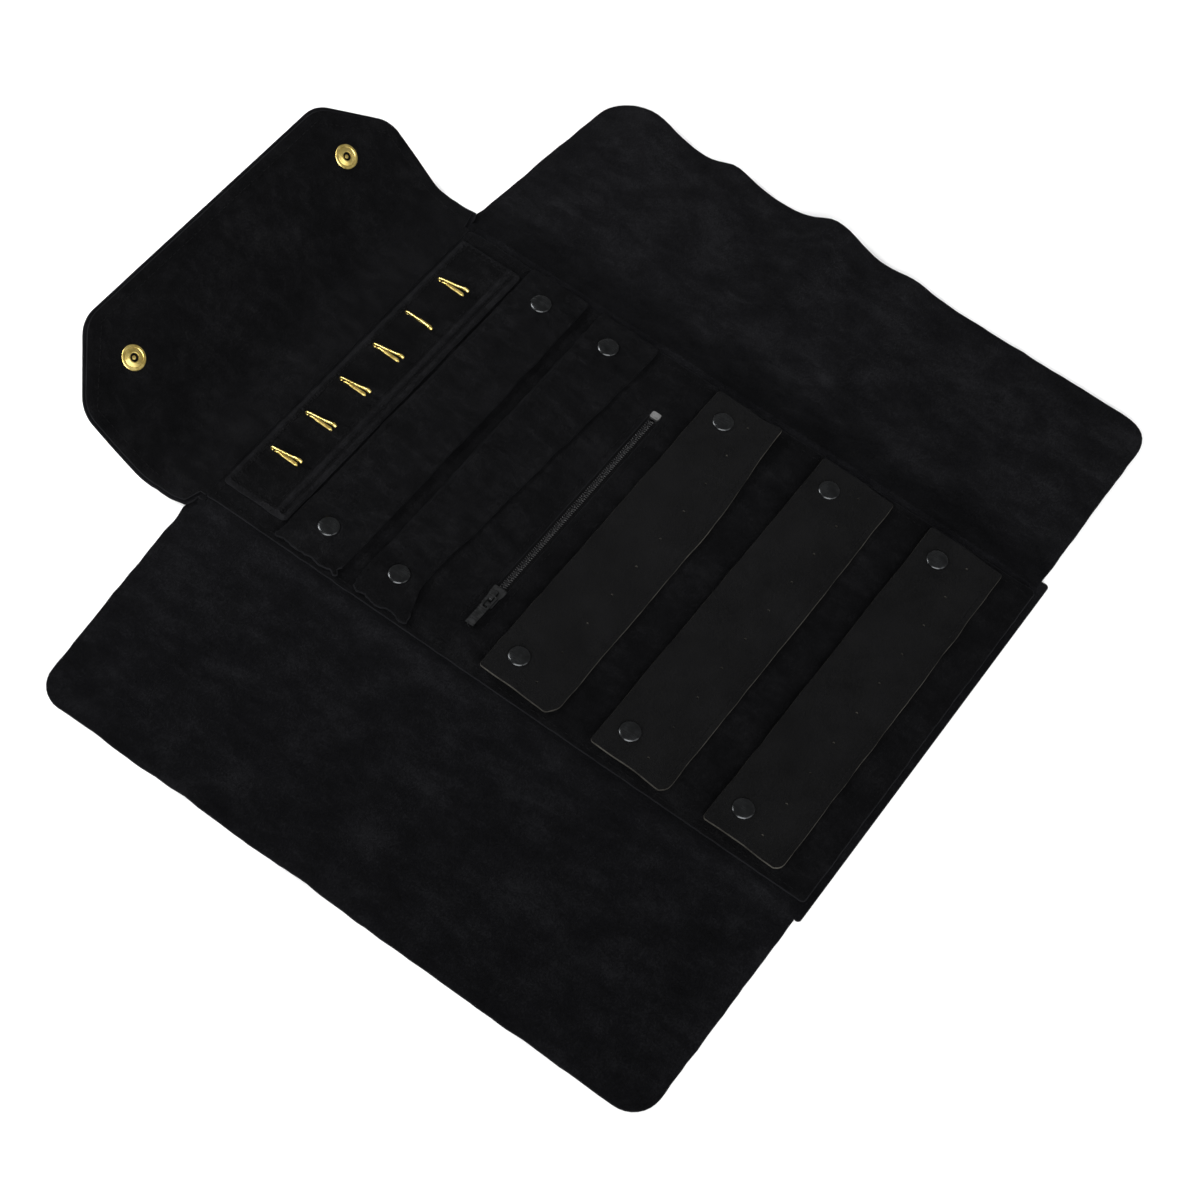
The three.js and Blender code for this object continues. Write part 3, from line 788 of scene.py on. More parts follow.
def flapSurface(x, y):
    look = sideFlaps
    side = "right" if x > 0 else "left"
    beyond = abs(x) - sideX
    fromCover = abs(x) - coverSheet["edge"]
    out = grow(abs(x), (look["ridgeStart"], abs(look["edge"][side]) - look["ridgeStart"]))
    fallen = smooth(fromCover / look["droopReach"])
    height = coverMid - hemDroop(y) * (1 - fallen) - look["droop"] * fallen + crestHeight(x, y)
    height -= look["crease"] * bell(beyond, look["creaseWidth"])
    tucked = grow(y - closingY, look["tuckFromFold"]) * grow(fromCover, look["tuckFromCover"])
    height -= look["tuckDepth"] * tucked
    height += look["bow"][side] * grow(abs(x), look["bowSpan"])
    for middle, tall, before, after in look["ridges"][side]:
        height += tall * out ** look["ridgePower"] * bell(y - middle, before if y < middle else after)
    height += rippled(x, y, look["ripple"], 2.0) * smooth(beyond / look["rippleReach"])
    return Vector((x, y, max(height, coverThick / 2 + look["ground"])))


def addSideFlap(side, sign, look):
    edge = look["edge"][side]
    inner = sign * coverSheet["edge"]
    cut, start, tuckFrom = (sign * look[key] for key in ("cut", "topStart", "tuckFrom"))
    low = coverSheet["hemLine"][side]
    inTop = closingY - look["topGap"]
    high = closingY + look["topRise"]
    cutTop = high - look["topSlope"] * (cut - start) / (edge - start)
    top = [(cut, cutTop, 0), (start, high, look["topCorner"]), (tuckFrom, high, 0), (tuckFrom, inTop, 0),
           (inner, inTop, 0)]
    lengths = {
        # lower line, outer corners, upper line back to the root
        "hem": (low, [(edge, low, look["corner"]), (edge, hemFoldY, 0)],
                [(cut, hemFoldY, 0), (inner, hemFoldY, 0)]),
        "middle": (hemFoldY, [(edge, hemFoldY, 0), (edge, mainY, 0)], [(cut, mainY, 0), (inner, mainY, 0)]),
        "back": (mainY, [(edge, mainY, 0), (edge, high - look["topSlope"], look["corner"])], top),
    }
    ridged = side == "right"
    zone = (0, *sorted((inner, sign * (look["creaseEnd"] + bendMargin))), look["finer"])

    def fromSeam(x, y):
        return min(abs(y - hemFoldY), abs(y - mainY), abs(x - cut) if ridged else 1)

    def flush(x, y):
        rim = look["rim"]
        onRim = abs(x) > abs(edge) - rim or y < low + rim or y > cutTop - rim
        besideEar = abs(x) < coverSheet["ear"] and y < low + look["earGap"]
        butted = fromSeam(x, y) < touching and not onRim
        return abs(x) < coverSheet["edge"] + 2 * touching or butted or besideEar

    def straight(x, y):
        return max(float(flush(x, y)), 1 - smooth(fromSeam(x, y) / look["waver"][1]))

    for panel, (lower, outer, upper) in lengths.items():
        parts = {"": [(inner, lower, 0), *outer, *upper]}
        if ridged:  # its ridges are pressed flat as it folds, so it is cut beside the crease
            parts = {"": [(inner, lower, 0), (cut, lower, 0), *upper]}
            parts["_outer"] = [(cut, lower, 0), *outer, upper[0]]
        leaf, node = f"{side}_side_{panel}", f"{side}_flap_{panel}"
        for part, corners in parts.items():
            loop = zonedLoop(corners if sign > 0 else corners[::-1], look["step"], zone)
            loop = roughEdge(loop, look["waver"], straight, 3.0)
            piece = makeSheet(f"{side}_side_flap_{panel}{part}", [loop], look["step"], flapSurface,
                              coverThick, [flapSuede[side], rawSuede], butt=flush, zone=zone)
            if part:
                seat(piece, leaf, "suede", node)
                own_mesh(piece)
            else:
                crease = [(sign * look[key], 0, coverMid) for key in ("creaseStart", "creaseEnd")]
                seat(piece, (f"{panel}_panel", leaf), "suede", node, bend=crease)
            xs, ys, roundings = zip(*corners)


addSideFlap("left", -1, sideFlaps)
addSideFlap("right", 1, sideFlaps)
print("side flaps made")


# lining, sewn to the cover along its edges, in two lengths like the cover
liningSheet = inMetres({
    "step": 3.5, "left": -102.3, "right": 100.3, "corner": 2,
    "waver": (0.35, 6), "sewnDepth": 1.05, "sewnReach": 5,
    "turnUp": 2.6, "topReach": 9, "groove": (46.2, 4.5),
    "stitchIn": 3, "inward": 10, "pucker": (0.35, 22),
    "crumple": (0.3, 8), "slitHalf": 3.3, "slitCorner": 1.2, "slitStep": 2.5, "slitFromPull": 2,
    "slitPastStop": 0.3,
})
liningThick = 0.8 * mm
liningMid = liningHigh.z - liningThick / 2
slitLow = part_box("zipper_pull")[0].x + liningSheet["slitFromPull"]
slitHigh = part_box("zipper_end_stop")[1].x + liningSheet["slitPastStop"]


def liningSurface(x, y):
    look = liningSheet
    near = min(x - look["left"], look["right"] - x, y - liningHem)
    fromTop = liningHigh.y - y
    sewn = bell(near - look["stitchIn"], look["sewnReach"] if near > look["stitchIn"] else look["turnUp"])
    ended = 1 - smooth(fromTop / look["topReach"])  # falls to meet the closing flap's lining
    height = liningMid - look["sewnDepth"] * max(sewn, ended, hump(y, look["groove"]))
    inward = smooth(min(near, fromTop) / look["inward"])
    height -= (look["pucker"][0] + rippled(x, y, look["pucker"], 5.0)) / 2 * inward
    height -= max(0.0, rippled(x, y, look["crumple"], 6.0)) * inward
    return Vector((x, y, height))


def addLining(look):
    split = coverSheet["split"]
    left, right, inset, half = look["left"], look["right"], look["stitchIn"], look["slitHalf"]
    corner, slitCorner = look["corner"], look["slitCorner"]

    def flush(x, y):
        return abs(y - split) < touching

    slitCorners = boxCorners(slitLow, zipY - half, slitHigh, zipY + half, slitCorner, slitCorner)
    slit = roundedLoop(slitCorners, look["slitStep"])[::-1]
    lengths = {
        # corners, holes and the line where the seam turns
        "back": (boxCorners(left, split, right, liningHigh.y, 0, corner), [slit], liningHigh.y - inset),
        "hem": (boxCorners(left, liningHem, right, split, corner, 0), [], liningHem + inset),
    }
    for part, (corners, holes, turnY) in lengths.items():
        loop = roughEdge(zonedLoop(corners, look["step"], bendZone(part)), look["waver"], flush, 7.0)
        addLength("lining", part, f"lining_{part}_sheet", [loop, *holes], look["step"],
                                 liningSurface, liningThick, liningSuede, butt=flush)
    for part, (corners, holes, turnY) in lengths.items():
        route = [(left + inset, split), (left + inset, turnY), (right - inset, turnY), (right - inset, split)]
        seam = stitchRow(f"lining_{part}_stitches", liningSurface, [route], liningThick, darkThread)
        acrossFold(seam, part)


addLining(liningSheet)
print("lining made")


# hook panel and its row of wire hooks
hookPanel = inMetres({
    "step": 1.8, "corner": 2, "waver": (0.3, 6), "stitchIn": 3.2,
    "hem": 5.5, "fall": 0.35, "fallReach": 1.5, "welt": 0.95,
    "edgeWelt": (1.5, 1.3), "hemWelt": (0.4, 1.4),
    "weltFade": 2, "groove": 0.25, "edgeGroove": 0.9,
    "hemGroove": (3, 1.0), "inward": 6, "ripple": (0.25, 12),
    "gather": (0.6, 22), "gatherReach": 26, "worn": 2.3,
    "hemLess": 1,  # the welt at the hem is worn less
}, gatherTimes=4)
panelLow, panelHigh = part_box("hook_panel")
panelThick = panelHigh.z - panelLow.z


def panelInset(x, y):
    return min(x - panelLow.x, panelHigh.x - x, y - panelLow.y, panelHigh.y - y)


def panelSurface(x, y):
    look = hookPanel
    near = panelInset(x, y)
    fromHem = y - panelLow.y - look["hem"]
    inward = smooth(near / look["inward"])
    gathered = 1 - smooth((x - panelLow.x) / look["gatherReach"])
    height = (panelLow.z + panelHigh.z) / 2 - look["fall"] * (1 - smooth(near / look["fallReach"]))
    height += look["welt"] * hump(near, look["edgeWelt"])
    height += look["welt"] * hump(fromHem, look["hemWelt"]) * smooth(near / look["weltFade"])
    height -= look["groove"] * bell(near - look["stitchIn"], look["edgeGroove"])
    height -= look["groove"] * hump(fromHem, look["hemGroove"])
    height += rippled(x, y, look["ripple"], 8.0) * inward
    height += rippled(x, look["gatherTimes"] * y, look["gather"], 9.5) * gathered * inward
    return Vector((x, y, height))


def addHookPanel(look):
    corners = boxCorners(panelLow.x, panelLow.y, panelHigh.x, panelHigh.y, look["corner"], look["corner"])
    loop = roughEdge(roundedLoop(corners, look["step"]), look["waver"], None, 9.0)
    panel = makeSheet("hook_panel_sheet", [loop], look["step"], panelSurface, panelThick,
                      [panelSuede, wornSuede, rawSuede])
    for face in panel.data.polygons:
        x, y = face.center.x, face.center.y
        fromWelt = min(panelInset(x, y), abs(y - panelLow.y - look["hem"]) + look["hemLess"])
        if face.material_index == 0 and fromWelt < look["worn"]:
            face.material_index = 1
    west, east = panelLow.x + look["stitchIn"], panelHigh.x - look["stitchIn"]
    south, north = panelLow.y + look["stitchIn"], panelHigh.y - look["stitchIn"]
    routes = [
        [(west, south), (east, south), (east, north), (west, north), (west, south)],
        [(west, south + look["hem"]), (east, south + look["hem"])],
    ]
    seam = stitchRow("hook_panel_stitches", panelSurface, routes, panelThick, darkThread)
    seat(panel, "back_panel", "suede", "hook_panel")
    seat(seam, "back_panel", "suede")


hookWire = inMetres({
    "radius": 0.6, "legHalf": 1.0, "legThick": 0.5,
    "tipRadius": 0.85, "bend": 0.9, "sunk": 1.3, "tipDrop": 1.5, "tipRound": 0.35,
    "footIn": 2.4, "footSunk": 0.2, "leans": [1.0, 0.8, 1.2, 1.0, -2.4, 1.1],
    "lifts": [0.0, 0.3, -0.3, 0.2, 0.0, 0.3],
}, endShare=0.45, sides=12, perSpan=6)


def splinePath(spots, perSpan):
    # smooth path through spots
    ends = [spots[0] * 2 - spots[1], *spots, spots[-1] * 2 - spots[-2]]
    made = []
    for a, b, c, d in zip(ends, ends[1:], ends[2:], ends[3:]):
        for k in range(perSpan):
            t = k / perSpan
            made.append(0.5 * (2 * b + (c - a) * t + (2 * a - 5 * b + 4 * c - d) * t ** 2
                               + (3 * b - a - 3 * c + d) * t ** 3))
    return made + [spots[-1]]


def addHook(number, look):
    node = f"necklace_hook_{number}"
    low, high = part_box(node)
    x = low.x + look["radius"]
    lean = look["leans"][number - 1]
    bend, span = look["bend"], look["perSpan"]
    base = panelHigh.z + look["radius"]
    tip = high.z - look["radius"] - look["tipDrop"] + look["lifts"][number - 1]
    foot = low.y + look["footIn"]
    crown = high.y - look["radius"]
    # share of the lean, y and z, from the foot in the panel round the crown to the free tip
    spots = [
        (0, foot, low.z + 0.3 * mm),
        (0, foot + 0.3 * mm, base - 0.35 * mm),
        (0, foot + 1.4 * mm, base),
        (0, (foot + crown) / 2, base + 0.1 * mm),
        (0, crown - 3.4 * mm, base - 0.2 * mm),
        (0, crown - 1.5 * mm, base - look["sunk"]),
        (0.1, crown - 0.1 * mm, base - 0.4 * mm),
        (0.2, crown - bend, base + bend),
        (0.6, foot + 0.35 * (crown - foot), base + 0.72 * (tip - base)),
        (1, foot - 0.2 * mm, tip),
        (1, low.y + 0.5 * mm, tip - 0.5 * mm),
    ]
    path = splinePath([Vector((x + lean * share, y, z)) for share, y, z in spots], span)
    start = path[0] - Vector((0, 0, look["footSunk"]))
    end = path[-1] + (path[-1] - path[-2]).normalized() * look["tipRound"]
    path = [start, *path, end]
    radii, widths = [], []
    for i in range(len(path)):
        swell = smooth((i - len(path) + 2 * span + 1) / span)
        wire = look["radius"] + (look["tipRadius"] - look["radius"]) * swell
        leg = smooth((i - span) / span) * smooth((4 * span - i) / span)  # flattened along the panel
        radii.append(wire + (look["legThick"] - wire) * leg)
        widths.append(wire + (look["legHalf"] - wire) * leg)
    for sizes in (radii, widths):
        sizes[0] = sizes[-1] = look["radius"] * look["endShare"]
    hook = sweptWire(f"wire_hook_{number}", path, radii, look["sides"], brass, widths, Vector((0, -1, 0)))
    seat(hook, "back_panel", "brass", node)


addHookPanel(hookPanel)
for number in range(1, 7):
    addHook(number, hookWire)
print("hook panel and hooks made")


# earring flaps of leather, sewn along their hem side
earringFlaps = inMetres({
    "step": 2.6, "thick": 1.2, "leftCorner": {1: 8, 2: 5, 3: 4.5},
    "corner": 1.6, "waver": (0.45, 12), "sewn": 4.5,
    "ramp": 18, "freeReach": 20, "sag": 0.6, "ripple": (0.35, 30),
    "stitchIn": 2.6, "stitchEnd": 4, "seamDepth": 0.2, "seamWidth": 0.9,
    "holePitch": 19.6, "holeRadius": 0.55, "holeLine": 15.2,
    "bendStart": 3.6, "bendEnd": 10.5, "curlSpan": (28, 70), "curlIn": {1: 4.2, 2: 0.6, 3: 0.4},
    "curlUp": {1: 2.6, 2: 0.5, 3: 0.2}, "curlReach": 16,
}, finer=2.5, bulge=0.12, holeCount=10, holeSides=8,
   panels={1: "middle_panel", 2: "middle_panel", 3: "hem_panel"})


def addEarringFlap(number, look):
    node = f"earring_flap_{number}"
    low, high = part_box(node)
    step, thick = look["step"], look["thick"]
    snapX = centreOf(f"flap_{number}_snap_cap_right")[0]
    sewnZ = low.z + thick / 2
    topZ = high.z - thick / 2
    reach = high.y - low.y
    bendLow, bendHigh = low.y + look["bendStart"], low.y + look["bendEnd"]

    def surface(x, y):
        up = y - low.y
        curl = grow(x, look["curlSpan"])
        free = grow(up, (look["sewn"], look["freeReach"]))
        height = sewnZ + (topZ - sewnZ) * grow(up, (look["sewn"], look["ramp"]))
        height -= look["sag"] * free * (1 - min(1.0, (x / snapX) ** 2))
        height += rippled(x, y, look["ripple"], 11.0 + number) * free
        height += look["curlUp"][number] * curl * (1 - smooth(up / look["curlReach"]))
        height -= look["seamDepth"] * bell(up - look["stitchIn"], look["seamWidth"])
        return Vector((x, y + look["curlIn"][number] * curl * (1 - smooth(up / reach)), height))

    corners = boxCorners(low.x, low.y, high.x, high.y, look["corner"], look["corner"])
    corners[0] = (low.x, low.y, look["leftCorner"][number])
    zone = (1, bendLow - bendMargin, bendHigh + bendMargin, look["finer"])
    loops = [roughEdge(zonedLoop(corners, step, zone), look["waver"], None, 13.0 + number)]
    for k in range(look["holeCount"]):
        x = (k - (look["holeCount"] - 1) / 2) * look["holePitch"]
        loops.append(ringLoop(x, low.y + look["holeLine"], look["holeRadius"], look["holeSides"]))
    flap = makeSheet(f"leather_flap_{number}", loops, step, surface, thick, [leather, cutLeather],
                     bulge=look["bulge"], zone=zone)
    inset = look["stitchIn"] + look["stitchEnd"]
    route = [(low.x + inset, low.y + look["stitchIn"]), (high.x - inset, low.y + look["stitchIn"])]
    seam = stitchRow(f"leather_flap_{number}_stitches", surface, [route], thick, thread)
    panel = look["panels"][number]
    bend = [(0, bendLow, sewnZ), (0, bendHigh, sewnZ)]
    seat(flap, (panel, f"earring_leaf_{number}"), "leather", node, bend=bend)
    seat(seam, panel, "leather")


for number in (1, 2, 3):
    addEarringFlap(number, earringFlaps)
print("earring flaps made")


# ring straps, soft rolled bands held by a snap at each end
ringStraps = inMetres({
    "step": 2.2, "edgeStep": 1.4, "thick": 1.1,
    # from the snap line to each long edge; the hem side is given at the left and at the right snap
    "topSide": {1: 16, 2: 14}, "hemSide": {1: (17.5, 17), 2: (9.5, 19)},
    "flare": {1: 0.0, 2: 7.5}, "flareReach": 26, "corner": 1.2,
    "waver": (0.7, 12), "rest": 0.15, "crown": {1: 2.7, 2: 3.5},
    "flatEnd": 6, "pinch": 8, "ease": 46,
    # distances from a snap: where its pull fades, where the strap is free, and its ring of small folds
    "snapPull": (5, 11), "snapFree": (7, 8), "snapFolds": (11, 5),
    "foldHeight": {"left": 0.32, "right": 0.8}, "wrinkles": (0.55, 30),
    "crumple": (0.3, 9), "sway": (0.8, 38), "cutEnd": 5,
    "fray": ((1.9, 5.5), (0.76, 1.9)), "bendReach": 6,
}, finer=2, bulge=0.5, edgeRuns=12, crest=0.9, crestPower=1.8, leastPuff=0.2, foldCount=6,
   shortAcross=0.8, edgeShare=0.12, wrinkleTimes=4.5)


def rollHeight(share, look):
    # section of a soft roll, highest along its closing side
    crest = look["crest"]
    if share < crest:
        return (share / crest) ** look["crestPower"]
    return math.sqrt(max(0.0, 1 - ((share - crest) / (1 - crest)) ** 2))


def addRingStrap(number, look):
    node = f"ring_strap_{number}"
    low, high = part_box(node)[0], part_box(node + "_end")[1]
    snapX, snapY, snapZ = centreOf(f"strap_{number}_snap_cap_right")
    thick, corner = look["thick"], look["corner"]
    snapLevel = high.z - thick / 2
    restLevel = liningHigh.z + look["rest"] + thick / 2
    topSide = look["topSide"][number]
    hemLeft, hemRight = look["hemSide"][number]

    def hemSide(x):
        across = (x + snapX) / (2 * snapX)
        flare = look["flare"][number] * (1 - smooth((x - low.x) / look["flareReach"]))
        return hemLeft + (hemRight - hemLeft) * min(1.0, max(0.0, across)) + flare

    def surface(x, y):
        fromSnap = math.hypot(abs(x) - snapX, (y - snapY) * look["shortAcross"])
        side = hemSide(x)
        share = min(1.0, max(0.0, (y - snapY + side) / (side + topSide)))
        eased = smooth((x + snapX - look["flatEnd"]) / look["ease"])
        puffed = smooth((snapX - x - look["flatEnd"]) / look["pinch"])
        puffed *= look["leastPuff"] + (1 - look["leastPuff"]) * eased
        height = restLevel + look["crown"][number] * puffed * rollHeight(share, look)
        height += max(0.0, snapLevel - height) * (1 - grow(fromSnap, look["snapPull"]))
        free = grow(fromSnap, look["snapFree"]) * smooth(min(share, 1 - share) / look["edgeShare"])
        height += rippled(x, look["wrinkleTimes"] * y, look["wrinkles"], 21.0 + number) * free
        height += rippled(x, y, look["crumple"], 25.0 + number) * free
        folds = math.cos(look["foldCount"] * math.atan2(y - snapY, x - snapX) + number)
        height += look["foldHeight"]["right" if x > 0 else "left"] * folds * hump(fromSnap, look["snapFolds"])
        return Vector((x, y + rippled(x, number, look["sway"], 31.0), max(height, restLevel)))

    def whole(x, y):
        return x > low.x + look["cutEnd"]

    steps = [low.x + (high.x - low.x) * k / look["edgeRuns"] for k in range(look["edgeRuns"] + 1)]
    south = [(x, snapY - hemSide(x), corner if x in (steps[0], steps[-1]) else 0) for x in steps]
    corners = south + [(high.x, snapY + topSide, corner), (low.x, snapY + topSide, corner)]
    loop = roughEdge(roundedLoop(corners, look["edgeStep"]), look["waver"], None, 17.0 + number)
    for fray, seed in zip(look["fray"], (19.0, 23.0)):
        loop = roughEdge(loop, fray, whole, seed + number)
    bendX = pivot(f"strap_{number}_open").x
    bendHigh, bendLow = bendX + look["bendReach"], bendX - look["bendReach"]
    strap = makeSheet(f"suede_strap_{number}", [loop], look["step"], surface, thick, [strapSuede, rawSuede],
                      bulge=look["bulge"], raw=lambda x, y: x < low.x + look["cutEnd"],
                      zone=(0, bendLow, bendHigh, look["finer"]))
    bend = [(bendHigh, snapY, low.z), (bendLow, snapY, low.z)]
    seat(strap, ("back_panel", f"strap_{number}"), "suede", node, node + "_end", bend=bend)


for number in (1, 2):
    addRingStrap(number, ringStraps)
print("ring straps made")


# zip: woven tapes, two coils of bent monofilament, slider, pull and end stop
zipLook = inMetres({
    "tapeStep": 3, "tapeRipple": (0.05, 12), "pitch": 1.28,
    "filament": 0.28, "reach": 1.75, "reachOver": 0.2,
    "bevel": 0.16, "stitchIn": 2.6,
}, squareness=0.7, perTurn=12, sides=6, bevelAngle=math.radians(35))


def addTapes(look):
    low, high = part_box("zipper_tape_lower")
    upperLow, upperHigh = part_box("zipper_tape_upper")
    level = (low.z + high.z) / 2
    loops = []
    for south, north in ((low.y, high.y), (upperLow.y, upperHigh.y)):
        loops.append(roundedLoop(boxCorners(low.x, south, high.x, north), look["tapeStep"]))

    def surface(x, y):
        return Vector((x, y, level + rippled(x, y, look["tapeRipple"], 41.0)))

    tapes = makeSheet("zip_tapes", loops, look["tapeStep"], surface, high.z - low.z, [zipTape])
    seat(tapes, "back_panel", "tape", "zipper_tape_lower", "zipper_tape_upper")


def addCoil(side, sign, look):
    node = f"zipper_coil_{side}"
    low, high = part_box(node)
    filament, pitch = look["filament"], look["pitch"]
    halfWide = (look["reach"] + look["reachOver"]) / 2 - filament
    halfTall = (high.z - low.z) / 2 - filament
    middleY = zipY + sign * (look["reach"] - look["reachOver"]) / 2
    middleZ = (low.z + high.z) / 2
    turns = int((high.x - low.x) / pitch) - 1
    lead = 0.0 if sign > 0 else pitch / 2
    path = []
    for k in range(turns * look["perTurn"] + 1):
        share = k / look["perTurn"]
        angle = 2 * math.pi * share
        across = math.copysign(abs(math.cos(angle)) ** look["squareness"], math.cos(angle))
        path.append(Vector((low.x + filament + lead + share * pitch, middleY - sign * halfWide * across,
                            middleZ + halfTall * math.sin(angle))))
    coil = sweptWire(f"zip_coil_{side}", path, [filament] * len(path), look["sides"], zipCoil)
    seat(coil, "back_panel", "coil", node)


def dressNode(node, material, look):
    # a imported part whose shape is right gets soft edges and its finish
    piece = frame["nodes"][node]
    piece.data.materials.clear()
    piece.data.materials.append(material)
    soft = piece.modifiers.new("soft edges", "BEVEL")
    soft.width = look["bevel"]
    soft.segments = 2
    soft.limit_method = "ANGLE"
    soft.angle_limit = look["bevelAngle"]
    soft.harden_normals = False


def addZipSeams(look):
    reach = liningSheet["slitHalf"] + look["stitchIn"]
    routes = [[(slitLow, y), (slitHigh, y)] for y in (zipY - reach, zipY + reach)]
    seat(stitchRow("zip_stitches", liningSurface, routes, liningThick, darkThread), "back_panel", "suede")


addTapes(zipLook)
addCoil("lower", -1, zipLook)
addCoil("upper", 1, zipLook)
dressNode("zipper_slider", sliderMetal, zipLook)
dressNode("zipper_pull", sliderMetal, zipLook)
dressNode("zipper_end_stop", nickel, zipLook)
addZipSeams(zipLook)
print("zip made")


# closing flap: a neck and an end, each of outer suede and lining, curled up at rest
closingFlap = inMetres({
    "step": 3.2, "tableStep": 0.5, "overrun": 20,
    "bendAt": 24, "bendSoft": 6.5,
    "rootBend": (-4, 8),  # from the fold line
    "endBend": (-9, 9), "shift": -1.5, "shiftReach": 10,
    "ripple": (0.25, 30), "rippleSpan": (2, 12), "rootHalf": 111.6,
    "widestHalf": 114.2, "tipHalf": 84.5, "widestReach": 65,
    "reach": 95.7, "corner": 17, "notch": 1.5, "notchCorner": 1,
    "lip": -0.1, "overlap": 0.4, "liningInset": 1.2, "liningStart": -2.8, "liningCorner": 3,
    "liningThick": 0.8, "seat": 0.2, "stitchIn": 6, "stitchStart": 2, "stitchTurn": 62,
}, finer={"neck": 2.5, "end": 2}, rootTilt=math.radians(1), endShare=0.86)
endPoint = pivot("closing_end_fold")
neckLength = math.hypot(endPoint.y - closingY, endPoint.z - foldLevel)
neckTilt = math.atan2(endPoint.z - foldLevel, endPoint.y - closingY)
endTilt = math.radians(-joints["closing_end_fold"]["range_deg"][0])
neckSplit = neckLength / 2


def closingCurve(look):
    # side view of the flap from the back panel to its end: tilt, y and z along its length
    step, soft = look["tableStep"], look["bendSoft"]
    places = np.arange(-look["overrun"], look["reach"] + look["overrun"], step)
    rise = neckTilt + endTilt - look["rootTilt"]
    tilts = [look["rootTilt"] + rise * smooth((s - look["bendAt"] + soft) / (2 * soft)) for s in places]
    ys = closingY - look["overrun"] + np.concatenate([[0], np.cumsum(np.cos(tilts[:-1]))]) * step
    zs = foldLevel + np.concatenate([[0], np.cumsum(np.sin(tilts[:-1]))]) * step
    return places, np.array(tilts), ys, zs


curvePlaces, *curveTables = closingCurve(closingFlap)


def closingSurface(depth, look):
    def surface(x, s):
        tilt, y, z = (float(np.interp(s, curvePlaces, table)) for table in curveTables)
        lift = depth + rippled(x, s, look["ripple"], 51.0) * grow(s, look["rippleSpan"])
        x += look["shift"] * smooth(s / look["shiftReach"])
        return Vector((x, y - math.sin(tilt) * lift, z + math.cos(tilt) * lift))

    return surface


def closingHalves(look, inset):
    # half widths at the root, at the split, where it is widest and at the tip
    root, widest, tip = (look[key] - inset for key in ("rootHalf", "widestHalf", "tipHalf"))
    return root, root + (widest - root) * neckSplit / look["widestReach"], widest, tip


def closingLoop(look, start, inset, part, zone):
    root, splitHalf, widest, tip = closingHalves(look, inset)
    reach, corner, notch, over = look["reach"] - inset, look["corner"], look["notch"], look["overlap"]
    if part == "end":
        corners = [
            (-splitHalf, neckSplit, 0), (splitHalf, neckSplit, 0), (widest, look["widestReach"], corner),
            (tip, reach, corner), (-tip, reach, corner), (-widest, look["widestReach"], corner),
        ]
    elif inset > 0:  # the lining keeps to its own edges where the outer cover is notched
        left, right, bent = liningSheet["left"], liningSheet["right"], look["liningCorner"]
        corners = [
            (-splitHalf, neckSplit, 0), (-root, 2 * notch, bent), (left, over, 0), (left, start, 0),
            (right, start, 0), (right, over, 0), (root, 2 * notch, bent), (splitHalf, neckSplit, 0),
        ]
    else:
        narrow, wide, lip = coverSheet["edge"], sideFlaps["tuckFrom"] + over, look["lip"]
        half = [(narrow, start, 0), (narrow, lip, 0), (wide, lip, 0), (root, notch, look["notchCorner"]),
                (splitHalf, neckSplit, 0)]
        corners = [(-x, s, rounding) for x, s, rounding in half[::-1]] + half
    return zonedLoop(corners, look["step"], zone)


def closingSeam(look, surface, thick, part):
    inset = look["stitchIn"]
    root, splitHalf, widest, tip = closingHalves(look, inset)
    routes = [[(sign * root, look["stitchStart"]), (sign * splitHalf, neckSplit)] for sign in (-1, 1)]
    if part == "end":
        half = [(splitHalf, neckSplit), (widest, look["stitchTurn"]), (tip, look["reach"] - inset)]
        routes = [half + [(-x, s) for x, s in half[::-1]]]
    return stitchRow(f"closing_{part}_stitches", surface, routes, thick, darkThread)


def addClosingFlap(look):
    plies = {
        # depth of its middle, thickness, start, inset and suede
        "outer": (-coverThick / 2, coverThick, -coverSheet["rootStart"], 0.0, coverSuede),
        "lining": (look["seat"] + look["liningThick"] / 2, look["liningThick"], look["liningStart"],
                   look["liningInset"], liningSuede),
    }
    hinge = Vector((0, closingY, foldLevel))
    turn = Vector((0, endPoint.y, endPoint.z))
    neckAlong = Vector((0, math.cos(neckTilt), math.sin(neckTilt)))
    parts = {
        # bodies, pivot, direction of the bend, its reach and place, half width and share of its rectangle
        "neck": (("back_panel", "closing_neck"), hinge, Vector((0, 1, 0)), look["rootBend"], 0.0,
                 look["rootHalf"], 1.0),
        "end": (("closing_neck", "closing_end"), turn, neckAlong, look["endBend"], neckLength,
                look["widestHalf"], look["endShare"]),
    }

    def flush(x, s):
        return abs(s - neckSplit) < touching or s < look["liningStart"] + touching

    for ply, (depth, thick, start, inset, suede) in plies.items():
        surface = closingSurface(depth, look)
        for part, (bodies, point, along, (low, high), place, half, share) in parts.items():
            zone = (1, place + low - bendMargin, place + high + bendMargin, look["finer"][part])
            loop = closingLoop(look, start, inset, part, zone)
            piece = makeSheet(f"closing_{part}_{ply}", [loop], look["step"], surface, thick,
                              [suede, rawSuede], butt=flush, zone=zone)
            bend = [point + along * low, point + along * high]
            seat(piece, bodies, "suede", "closing_flap_" + ("neck" if part == "neck" else ply), bend=bend)
            seams = []
            if ply == "lining":
                seams.append(closingSeam(look, surface, thick, part))
                seat(seams[0], bodies, "suede", bend=bend)


addClosingFlap(closingFlap)
print("closing flap made")


